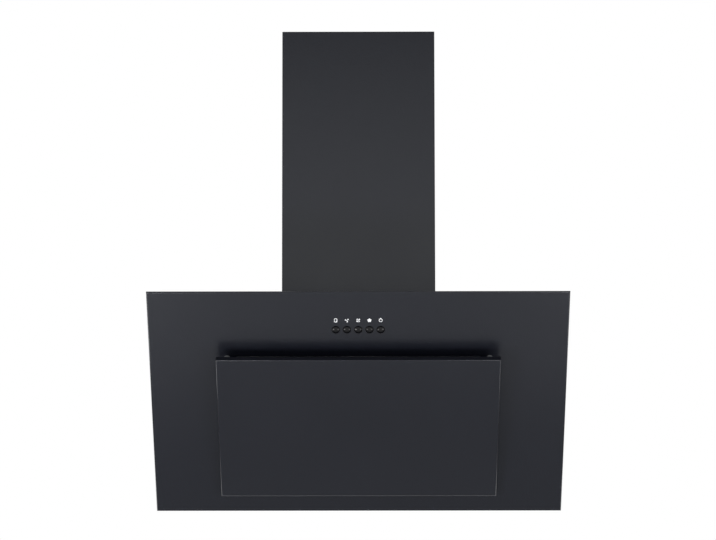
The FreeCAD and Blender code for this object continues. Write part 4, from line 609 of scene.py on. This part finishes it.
def flat(shape, outline):
    """Adds a face in the XY plane through (x, y) points."""
    shape.faces.new([shape.verts.new((x, y, 0)) for x, y in outline])


def loop(shape, outline):
    """Adds a closed line of edges in the XY plane."""
    points = [shape.verts.new((x, y, 0)) for x, y in outline]
    return [shape.edges.new(pair) for pair in zip(points, points[1:] + points[:1])]


def thickened(shape, height):
    """Raises flat faces into solids `height` thick."""
    grown = bmesh.ops.extrude_face_region(shape, geom=shape.faces[:])["geom"]
    raised = [part for part in grown if isinstance(part, bmesh.types.BMVert)]
    bmesh.ops.translate(shape, vec=(0, 0, height), verts=raised)


def polar(count, radius_at):
    """`count` points round the origin, at the radius that `radius_at` gives for each angle."""
    angles = [2 * math.pi * step / count for step in range(count)]
    return [swung(radius_at(angle), angle) for angle in angles]


def swung(radius, angle):
    """The point at that radius and that angle from straight up, clockwise."""
    return radius * math.sin(angle), radius * math.cos(angle)


def on_face(x, into, down):
    """A place on the leaning face, its +Z pointing out of the body and its +Y up the face."""
    return FACE @ Matrix.Translation((x, into, -down)) @ Matrix.Rotation(QUARTER, 4, "X")


def middle_of(node):
    """The middle of a CAD node's box."""
    low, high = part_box(node)
    return (low + high) / 2


def button_x(name):
    return middle_of("button_" + name).x


# ---- Buttons ---------------------------------------------------------------------------
def button_profile(look):
    """Half a button's section, from the rear end of its stem round to the top of its dome."""
    flange_front, flange_rear, flange_radius = BUTTON_FLANGE
    stem_end, stem_radius = BUTTON_STEM
    shoulder = BUTTON_RIM + look.crown - look.dome
    dome = arc(0, shoulder, look.radius, look.dome, 0, 90, DOME_STEPS)
    return [(0, -stem_end), (stem_radius, -stem_end), (stem_radius, -flange_rear),
            (flange_radius, -flange_rear), (flange_radius, -flange_front),
            (look.radius, -flange_front)] + dome


# ---- Symbols ---------------------------------------------------------------------------
def ring_symbol(shape, outer, inner):
    """The flat ring between two outlines."""
    edges = loop(shape, outer) + loop(shape, inner)
    bmesh.ops.bridge_loops(shape, edges=edges)


def squarish(half_width, half_height):
    """A rounded rectangle, from the formula of a squared ellipse."""
    def reach(angle):
        powers = math.sin(angle) ** SQUARE_POWER + math.cos(angle) ** SQUARE_POWER
        return powers ** (-1 / SQUARE_POWER)
    return [(x * half_width, y * half_height) for x, y in polar(RING_POINTS, reach)]


def off_symbol(shape, size, line):
    """An upright rounded ring."""
    width, height = size * OFF_WIDTH, size / 2
    ring_symbol(shape, squarish(width, height), squarish(width - line, height - line))


def fan_symbol(shape, size, blades, breadth):
    """Swept blades round a hub; `breadth` is a blade's share of its part of the turn."""
    hub = size * FAN_HUB
    root = hub * FAN_GAP
    least, swelling = FAN_TAPER
    swell_start, swell_length = FAN_SWELL
    flat(shape, polar(FAN_HUB_POINTS, lambda angle: hub))
    for blade in range(blades):
        start = 2 * math.pi * blade / blades + FAN_START
        front, rear = [], []
        for step in range(FAN_STEPS + 1):
            outward = step / FAN_STEPS
            radius = root + (size / 2 - root) * outward
            swell = math.sin(math.pi * (swell_start + swell_length * outward))
            spread = breadth * 2 * math.pi / blades * (least + swelling * swell)
            edge = start + outward * FAN_SWEEP
            front.append(swung(radius, edge))
            rear.insert(0, swung(radius, edge + spread))
        flat(shape, front + rear)


def wheel_symbol(shape, size):
    """A solid wheel with five lobes."""
    def edge(angle):
        return size / 2 * (1 - WHEEL_LOBE + WHEEL_LOBE * math.cos(WHEEL_LOBES * angle))
    flat(shape, polar(WHEEL_POINTS, edge))


def lamp_symbol(shape, size, line):
    """The ring of a round bulb with a point on top."""
    half = size / 2
    height, breadth, sharpness = BULB_POINT

    def bulb(angle):
        peak = max(0.0, 1 - abs(math.remainder(angle, 2 * math.pi)) / breadth)
        return half * (BULB_ROUND + height * peak ** sharpness)
    inner = polar(RING_POINTS, lambda angle: half * BULB_ROUND - line)
    ring_symbol(shape, polar(RING_POINTS, bulb), inner)


SYMBOLS = {
    "off": off_symbol,
    "low": lambda shape, size, line: fan_symbol(shape, size, blades=3, breadth=0.45),
    "medium": lambda shape, size, line: fan_symbol(shape, size, blades=4, breadth=0.62),
    "high": lambda shape, size, line: wheel_symbol(shape, size),
    "light": lamp_symbol,
}


# ---- Screws ----------------------------------------------------------------------------
def cross_outline(reach, half):
    """The outline of a cross recess, `reach` long from its middle and twice `half` wide."""
    corner = [(half, half), (half, reach), (-half, reach)]
    outline = []
    for quarter in range(4):
        turn = Matrix.Rotation(QUARTER * quarter, 2)
        outline += [tuple(turn @ Vector(point)) for point in corner]
    return outline


def screw_shape(look, height, shank_length):
    """A pan-head screw along Z with its seat at 0 and a cross recess in its head."""
    shape = bmesh.new()
    rounding = height * SCREW_ROUNDING
    profile = [(0, -shank_length), (SCREW_SHANK, -shank_length), (SCREW_SHANK, 0), (SCREW_HEAD, 0)]
    profile += arc(SCREW_HEAD - rounding, height - rounding, rounding, rounding, 0, 90, 3)
    turned(shape, profile, Matrix(), SCREW_STEPS)
    rim = [edge for edge in shape.edges if edge.is_boundary]
    recess = loop(shape, cross_outline(look.recess * SCREW_HEAD, look.slot * SCREW_HEAD))
    corners = list({vert for edge in recess for vert in edge.verts})
    bmesh.ops.translate(shape, vec=(0, 0, height), verts=corners)
    bmesh.ops.triangle_fill(shape, use_beauty=True, edges=rim + recess)
    deep = bmesh.ops.extrude_edge_only(shape, edges=recess)["geom"]
    floor = [part for part in deep if isinstance(part, bmesh.types.BMVert)]
    bmesh.ops.translate(shape, vec=(0, 0, -look.depth * height), verts=floor)
    bmesh.ops.scale(shape, vec=(SCREW_FLOOR, SCREW_FLOOR, 1), verts=floor)
    bmesh.ops.contextual_create(shape, geom=[edge for edge in shape.edges if edge.is_boundary])
    return shape


def scattered(shape, places):
    """Copies of a shape at several places, in one bmesh."""
    stamp = meshed("stamp", shape)
    spread = bmesh.new()
    for place in places:
        before = len(spread.verts)
        spread.from_mesh(stamp)
        spread.verts.ensure_lookup_table()
        bmesh.ops.transform(spread, matrix=place, verts=spread.verts[before:])
    bpy.data.meshes.remove(stamp)
    return spread


# ---- Settings --------------------------------------------------------------------------
def length(name, text, metres):
    return bpy.props.FloatProperty(name=name, description=text, default=metres, unit="LENGTH",
                                   subtype="DISTANCE", precision=5, min=0)


def share(name, text, value):
    return bpy.props.FloatProperty(name=name, description=text, default=value, min=0, max=1,
                                   subtype="FACTOR")


def tint(name, text, red, green, blue):
    return bpy.props.FloatVectorProperty(name=name, description=text, subtype="COLOR", size=4,
                                         default=(red, green, blue, 1), min=0, max=1)


def wattage(name, text, watts):
    return bpy.props.FloatProperty(name=name, description=text, default=watts, unit="POWER",
                                   min=0)


def level(name, text, value):
    return bpy.props.FloatProperty(name=name, description=text, default=value, min=0)


def tilt(name, text, degrees):
    return bpy.props.FloatProperty(name=name, description=text, default=math.radians(degrees),
                                   unit="ROTATION")


class CoatLook(bpy.types.PropertyGroup):
    colour: tint("Colour", "Powder coat", 0.0056, 0.0064, 0.0110)
    roughness: share("Roughness", "Satin sheen", 0.31)
    shine: share("Shine", "Strength of the coat's reflection", 0.37)
    sheen: tint("Sheen", "Colour of the coat's reflection", 0.95, 0.975, 1.0)
    cloud_size: length("Clouds", "Width of the coat's faint clouds", 0.12)
    grain_size: length("Grain", "Width of the satin grain", 0.0008)
    peel_size: length("Orange peel", "Width of the orange peel", 0.0022)
    peel_depth: length("Peel depth", "Depth of the orange peel", 0.00009)


class ButtonLook(bpy.types.PropertyGroup):
    radius: length("Radius", "Radius of a cap", 0.0056)
    crown: length("Crown", "Top of a cap in front of its rim", 0.0010)
    dome: length("Dome", "Height over which a cap curves", 0.0026)


class SymbolLook(bpy.types.PropertyGroup):
    size: length("Size", "Width of a printed symbol", 0.0064)
    line: length("Line", "Width of a printed line", 0.0010)
    film: length("Film", "Thickness of the print", 0.00006)
    colour: tint("Colour", "Print ink", 0.74, 0.75, 0.77)


class ScrewLook(bpy.types.PropertyGroup):
    recess: share("Recess", "Reach of the cross, as a share of the head", 0.50)
    slot: share("Slot", "Half width of the cross, as a share of the head", 0.10)
    depth: share("Depth", "Depth of the cross, as a share of the head", 0.7)


class FilterLook(bpy.types.PropertyGroup):
    diamond: bpy.props.FloatVectorProperty(
        name="Diamond", description="Width and height of one opening of the mesh", size=2,
        default=(0.0110, 0.0060), unit="LENGTH", subtype="XYZ", min=0.001)
    strand: length("Strand", "Width of a strand", 0.0009)
    core: share("Core", "Thickness of the inner layers, as a share of the pack", 0.74)


class LampLook(bpy.types.PropertyGroup):
    rounding: length("Rounding", "Radius of the bezel's outer edge", 0.0008)
    inner: length("Inner rounding", "Radius of the bezel's inner edge", 0.0005)


class StudioLook(bpy.types.PropertyGroup):
    lens: bpy.props.FloatProperty(
        name="Lens", description="Focal length", default=109.81, unit="CAMERA", min=1)
    eye: bpy.props.FloatVectorProperty(
        name="Eye", description="Place of the camera", size=3, default=(0.0151, -3.4280, -0.0904),
        unit="LENGTH", subtype="TRANSLATION")
    pitch: tilt("Pitch", "Upward tilt", 4.277)
    yaw: tilt("Yaw", "Turn to the left", 0.287)
    roll: tilt("Roll", "Turn about the line of sight", 0.063)
    drop: length("Drop", "Floor under the hood", 0.35)
    lift: level("Lift", "Light added to the floor where it is seen", 0.24)
    reach: length("Reach", "Half the floor's width", 4.0)
    sky: level("Sky", "Level of the plain surroundings", 0.60)
    # Glow of the grey card that paints the floor's shade under the hood into reflections.
    under: level("Under", "Level of the grey card under the hood", 0.56)
    top: wattage("Top", "Softbox overhead", 34)
    front: wattage("Front", "Softbox behind the camera", 9)
    key: wattage("Key", "Softbox low on the left", 8)
    fill: wattage("Fill", "Softbox low on the right", 5)
    edge: wattage("Edge", "Strip light under the flap, seen in reflections only", 1.6)


# ---- Operators -------------------------------------------------------------------------
class HOOD_OT_coats(bpy.types.Operator):
    """Give every part of the hood the finish of its slot"""
    bl_idname = "hood.coats"
    bl_label = "Coats"

    def execute(self, context):
        finishes = slot_finishes(context.scene.hood_coat)
        for part in frame["record"]["subparts"]:
            coat(frame["nodes"][part["node"]], finishes[part["material_slot"]])
        return {"FINISHED"}


class HOOD_OT_sheets(bpy.types.Operator):
    """Soften the bends of the coated sheets and the curves of the turned parts"""
    bl_idname = "hood.sheets"
    bl_label = "Sheets"

    def execute(self, context):
        for part in frame["record"]["subparts"]:
            node = part["node"]
            if part["material_slot"] in SOFTENED and node not in REMADE:
                source = frame["nodes"][node]
                evened(made(node + "_skin", copied(node), source.data.materials[0],
                            source["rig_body"], [node]))
        return {"FINISHED"}


class HOOD_OT_buttons(bpy.types.Operator):
    """Turn the five domed push buttons"""
    bl_idname = "hood.buttons"
    bl_label = "Buttons"

    def execute(self, context):
        profile = button_profile(context.scene.hood_button)
        for name in BUTTONS:
            shape = bmesh.new()
            turned(shape, profile, on_face(button_x(name), 0, BUTTON_DOWN), CAP_STEPS)
            made("cap_" + name, shape, slot_finish("button_gloss"), "button_" + name,
                 ["button_" + name])
        return {"FINISHED"}


class HOOD_OT_springs(bpy.types.Operator):
    """Cut the buttons' springs into one piece for each button, and give the latch's spring a piece
    of its own
    """
    bl_idname = "hood.springs"
    bl_label = "Springs"

    def execute(self, context):
        steel = slot_finish("spring_steel")
        for name in BUTTONS:
            x = button_x(name)
            shape = copied("button_springs")
            others = [vert for vert in shape.verts if abs(vert.co.x - x) > BUTTON_FLANGE[2]]
            bmesh.ops.delete(shape, geom=others, context="VERTS")
            spring = made("spring_" + name, shape, steel, "hood", ["button_springs"])
            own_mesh(spring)
        spring = made("spring_latch", copied("latch_spring"), steel, "hood", ["latch_spring"])
        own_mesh(spring)
        return {"FINISHED"}


class HOOD_OT_symbols(bpy.types.Operator):
    """Print a plain symbol above each button"""
    bl_idname = "hood.symbols"
    bl_label = "Symbols"

    def execute(self, context):
        look = context.scene.hood_symbol
        ink = print_ink("print_ink", look.colour)
        for name in BUTTONS:
            shape = bmesh.new()
            SYMBOLS[name](shape, look.size, look.line)
            thickened(shape, look.film)
            place = on_face(button_x(name), 0, SYMBOL_DOWN)
            bmesh.ops.transform(shape, matrix=place, verts=shape.verts)
            made("symbol_" + name, shape, ink, "hood")
        return {"FINISHED"}


class HOOD_OT_screws(bpy.types.Operator):
    """Cut a cross recess into the screws that show"""
    bl_idname = "hood.screws"
    bl_label = "Screws"

    def execute(self, context):
        self.roof_screws(context.scene.hood_screw)
        self.chimney_screws(context.scene.hood_screw)
        return {"FINISHED"}

    def roof_screws(self, look):
        """Two rows of three along the roof's ends."""
        low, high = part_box("body_screws")
        height, shank = ROOF_SCREW
        rows = (low.y + SCREW_HEAD, (low.y + high.y) / 2, high.y - SCREW_HEAD)
        places = [Matrix.Translation((x, y, high.z - height))
                  for x in (low.x + SCREW_HEAD, high.x - SCREW_HEAD) for y in rows]
        screws = scattered(screw_shape(look, height, shank), places)
        made("roof_screws", screws, slot_finish("black_screw"), "hood", ["body_screws"])

    def chimney_screws(self, look):
        """One on each side of the chimney's foot."""
        low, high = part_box("foot_screws")
        height, shank = CHIMNEY_SCREW
        middle = (low + high) / 2
        out = high.x - middle.x - height
        places = [Matrix.Translation((middle.x + side * out, middle.y, middle.z))
                  @ Matrix.Rotation(side * QUARTER, 4, "Y") for side in (-1, 1)]
        screws = scattered(screw_shape(look, height, shank), places)
        made("chimney_screws", screws, slot_finish("black_screw"), "hood", ["foot_screws"])


class HOOD_OT_filter(bpy.types.Operator):
    """Lay expanded metal over both faces of the grease filter"""
    bl_idname = "hood.filter"
    bl_label = "Filter mesh"

    def execute(self, context):
        look = context.scene.hood_filter
        low, high = FILTER_PACK
        middle = FACE @ Matrix.Translation((0, (low + high) / 2, 0))
        layers = copied("filter_mesh")
        thinner = middle @ Matrix.Diagonal((1, look.core, 1, 1)) @ middle.inverted()
        bmesh.ops.transform(layers, matrix=thinner, verts=layers.verts)
        made("filter_layers", layers, slot_finish("filter_mesh"), "hood", ["filter_mesh"])
        strands = bmesh.new()
        thickness = (high - low) * (1 - look.core) / 2
        for into in (low + thickness / 2, high - thickness / 2):
            self.layer(strands, look, thickness, into)
        wire = brushed_metal("filter_strands", (0.62, 0.63, 0.64), WIRE_GRAIN, roughness=0.34)
        made("filter_strands", strands, wire, "hood")
        return {"FINISHED"}

    def layer(self, strands, look, thickness, into):
        """Adds one sheet of diamonds, cut to the pack's outline and round the latch's plate."""
        width, height = [side - 2 * FILTER_EDGE for side in FILTER_SIZE]
        cell_width, cell_height = look.diamond
        shape = bmesh.new()
        count = math.ceil(width / cell_width + height / cell_height) + 2
        bmesh.ops.create_grid(shape, x_segments=count, y_segments=count, size=count / 2)
        bmesh.ops.rotate(shape, matrix=Matrix.Rotation(QUARTER / 2, 3, "Z"), verts=shape.verts)
        diagonal = math.sqrt(2)
        bmesh.ops.scale(shape, verts=shape.verts,
                        vec=(cell_width / diagonal, cell_height / diagonal, 1))
        for direction, reach in (((1, 0, 0), width / 2), ((-1, 0, 0), width / 2),
                                 ((0, 1, 0), height / 2), ((0, -1, 0), height / 2)):
            geometry = shape.verts[:] + shape.edges[:] + shape.faces[:]
            bmesh.ops.bisect_plane(shape, geom=geometry, plane_co=Vector(direction) * reach,
                                   plane_no=direction, clear_outer=True)
        plate_width, plate_height = LATCH_PLATE
        behind = [face for face in shape.faces
                  if abs(face.calc_center_median().x) < (plate_width + cell_width) / 2
                  and face.calc_center_median().y > (height - cell_height) / 2 - plate_height]
        bmesh.ops.delete(shape, geom=behind, context="FACES")
        bmesh.ops.wireframe(shape, faces=shape.faces, thickness=look.strand, use_boundary=True,
                            use_even_offset=True, use_replace=True)
        tops = max(vert.co.z for vert in shape.verts)
        bmesh.ops.scale(shape, vec=(1, 1, thickness / 2 / tops), verts=shape.verts)
        down = FILTER_SIZE[1] / 2 - FILTER_TOP
        bmesh.ops.transform(shape, matrix=on_face(0, into, down), verts=shape.verts)
        part = meshed("layer", shape)
        strands.from_mesh(part)
        bpy.data.meshes.remove(part)


class HOOD_OT_lamps(bpy.types.Operator):
    """Turn the two lamp bezels"""
    bl_idname = "hood.lamps"
    bl_label = "Lamps"

    def execute(self, context):
        look = context.scene.hood_lamp
        for side in ("left", "right"):
            node = "lamp_housing_" + side
            low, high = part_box(node)
            lens_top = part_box("lamp_lens_" + side)[1].z - low.z
            middle = middle_of(node)
            shape = bmesh.new()
            place = Matrix.Translation((middle.x, middle.y, low.z))
            turned(shape, self.profile(look, high.z - low.z, lens_top), place, LAMP_STEPS)
            made("lamp_bezel_" + side, shape, slot_finish("lamp_bezel"), "hood", [node])
        return {"FINISHED"}

    def profile(self, look, tall, lens_top):
        """Half the housing's section, from inside its top down round the rim and up again."""
        ledge = LAMP_CAVITY - LAMP_LEDGE
        lip = LAMP_CAVITY + look.inner
        rim = LAMP_RIM - look.rounding
        inside = [(0, tall - LAMP_WALL), (ledge, tall - LAMP_WALL), (ledge, lens_top),
                  (LAMP_CAVITY, lens_top)]
        outside = [(LAMP_RIM, LAMP_FLANGE), (LAMP_BODY, LAMP_FLANGE), (LAMP_BODY, tall), (0, tall)]
        return (inside + arc(lip, look.inner, look.inner, look.inner, 180, 270, 3)
                + arc(rim, look.rounding, look.rounding, look.rounding, 270, 360, 4) + outside)


class HOOD_OT_studio(bpy.types.Operator):
    """Set a plain white studio round the hood, with its camera"""
    bl_idname = "hood.studio"
    bl_label = "Studio"

    def execute(self, context):
        look = context.scene.hood_studio
        scene = context.scene
        scene.view_settings.view_transform = "Standard"
        self.floor(look)
        self.surroundings(scene, look)
        for name in SOFTBOXES:
            self.softbox(name, getattr(look, name))
        bpy.data.objects["edge"].visible_diffuse = False
        # Painted reflections: a dark card over the front, and a glowing grey card that stands for
        # the floor's shade under the hood.
        self.card("flag_above", 0.0)
        self.card("flag_below", look.under)
        camera = placed("camera", bpy.data.cameras.new("camera"))
        camera.data.lens = look.lens
        camera.data.sensor_width = SENSOR_WIDTH
        camera.data.clip_start, camera.data.clip_end = CLIPPING
        camera.location = look.eye
        camera.rotation_euler = (QUARTER + look.pitch, look.roll, look.yaw)
        scene.camera = camera
        return {"FINISHED"}

    def stage_plane(self, name, width, depth, place, material):
        """A plain rectangle that belongs to the studio, facing the +Z of `place`."""
        shape = bmesh.new()
        bmesh.ops.create_grid(shape, x_segments=1, y_segments=1, size=1)
        bmesh.ops.scale(shape, vec=(width / 2, depth / 2, 1), verts=shape.verts)
        bmesh.ops.transform(shape, matrix=place, verts=shape.verts)
        item = placed(name, meshed(name, shape))
        coat(item, material)
        return item

    def floor(self, look):
        """A pale floor that keeps the hood's shadow, is lifted to white where it is seen, and
        shows nothing from below."""
        paper = Finish("floor", base_color=PAPER, roughness=0.9, specular_ior_level=0.1,
                       emission_strength=1.0)
        place = paper.place()
        away = (paper.along(place, "X") ** 2 + paper.along(place, "Y") ** 2) ** 0.5 / look.reach
        start, end, added = RIM_FADE
        inputs = {"Value": away, "From Min": start, "From Max": end, "To Max": added}
        glow = look.lift + paper.node("ShaderNodeMapRange",
                                      {"interpolation_type": "SMOOTHSTEP"}, inputs)
        paper.surface(emission_color=paper.shaded(WHITE, paper.seen() * glow))
        below = paper.node("ShaderNodeNewGeometry", output="Backfacing")
        clear = paper.node("ShaderNodeBsdfTransparent")
        solid = Term(paper, paper.shader.outputs["BSDF"])
        mixed = paper.node("ShaderNodeMixShader", inputs={0: below, 1: solid, 2: clear})
        paper.feed(paper.tree.nodes["Material Output"].inputs["Surface"], mixed)
        ground = Matrix.Translation((0, 0, CAD_BOX[0].z - look.drop))
        self.stage_plane("floor", 2 * look.reach, 2 * look.reach, ground, paper.material)

    def surroundings(self, scene, look):
        """White where the camera or a reflection sees it, dimmer where it only lights."""
        world = bpy.data.worlds.new("surroundings")
        world.use_nodes = True
        sky = Nodes(world.node_tree)
        background = world.node_tree.nodes["Background"]
        sky.feed(background.inputs["Color"], WHITE)
        sky.feed(background.inputs["Strength"], look.sky + sky.seen() * (1 - look.sky))
        scene.world = world

    def facing(self, place, aim):
        """The turn that makes -Z, where a light shines, point from `place` to `aim`."""
        return (Vector(aim) - Vector(place)).to_track_quat("-Z", "Y")

    def softbox(self, name, power):
        """An area light that lights and is reflected, but isn't seen straight."""
        place, aim, size = SOFTBOXES[name]
        light = bpy.data.lights.new(name, "AREA")
        light.shape = "RECTANGLE"
        light.size, light.size_y = size
        light.energy = power
        item = placed(name, light)
        item.location = place
        item.rotation_euler = self.facing(place, aim).to_euler()
        item.visible_camera = False

    def card(self, name, glow):
        """A black or grey card that only reflections see: a painted reflection, with no light or
        shadow of its own.
        """
        place, aim, size = CARDS[name]
        face = Finish(name, base_color=BLACK, roughness=1.0, specular_ior_level=0.0,
                      emission_color=WHITE, emission_strength=glow)
        stand = Matrix.Translation(place) @ self.facing(place, aim).to_matrix().to_4x4()
        item = self.stage_plane(name, *size, stand, face.material)
        item.visible_camera = False
        item.visible_diffuse = False
        item.visible_transmission = False
        item.visible_shadow = False


class HOOD_PT_finish(bpy.types.Panel):
    """The hood's pieces, in the order in which they are made"""
    bl_idname = "HOOD_PT_finish"
    bl_label = "Chimney hood"
    bl_space_type = "VIEW_3D"
    bl_region_type = "UI"
    bl_category = "Chimney hood"

    def draw(self, context):
        for operator, look in STEPS:
            box = self.layout.box()
            box.operator(operator)
            group = getattr(context.scene, look) if look else None
            for name in (group.__annotations__ if group else ()):
                box.prop(group, name)


# Nodes that another operator models afresh.
REMADE = ("button_springs", "latch_spring", "lamp_housing_left", "lamp_housing_right")

# Slots whose pieces have bends or curves to soften.
SOFTENED = ("powder_coat", "black_plastic", "white_plastic", "grey_plastic", "zinc_steel",
            "filter_aluminium", "screw_steel", "bronze", "rubber", "lens")

LOOKS = {"hood_coat": CoatLook, "hood_button": ButtonLook, "hood_symbol": SymbolLook,
         "hood_screw": ScrewLook, "hood_filter": FilterLook, "hood_lamp": LampLook,
         "hood_studio": StudioLook}

# The panel's rows: an operator and the settings that it reads.
STEPS = (("hood.coats", "hood_coat"), ("hood.sheets", None), ("hood.buttons", "hood_button"),
         ("hood.springs", None), ("hood.symbols", "hood_symbol"), ("hood.screws", "hood_screw"),
         ("hood.filter", "hood_filter"), ("hood.lamps", "hood_lamp"),
         ("hood.studio", "hood_studio"))

CLASSES = (*LOOKS.values(), HOOD_OT_coats, HOOD_OT_sheets, HOOD_OT_buttons, HOOD_OT_springs,
           HOOD_OT_symbols, HOOD_OT_screws, HOOD_OT_filter, HOOD_OT_lamps, HOOD_OT_studio,
           HOOD_PT_finish)


def register():
    for made_class in CLASSES:
        bpy.utils.register_class(made_class)
    for name, look in LOOKS.items():
        setattr(bpy.types.Scene, name, bpy.props.PointerProperty(type=look))


def unregister():
    for name in LOOKS:
        delattr(bpy.types.Scene, name)
    for made_class in reversed(CLASSES):
        bpy.utils.unregister_class(made_class)


def main():
    register()
    bpy.ops.hood.coats()
    bpy.ops.hood.sheets()
    bpy.ops.hood.buttons()
    bpy.ops.hood.springs()
    bpy.ops.hood.symbols()
    bpy.ops.hood.screws()
    bpy.ops.hood.filter()
    bpy.ops.hood.lamps()
    bpy.ops.hood.studio()


if __name__ == "__main__":
    main()
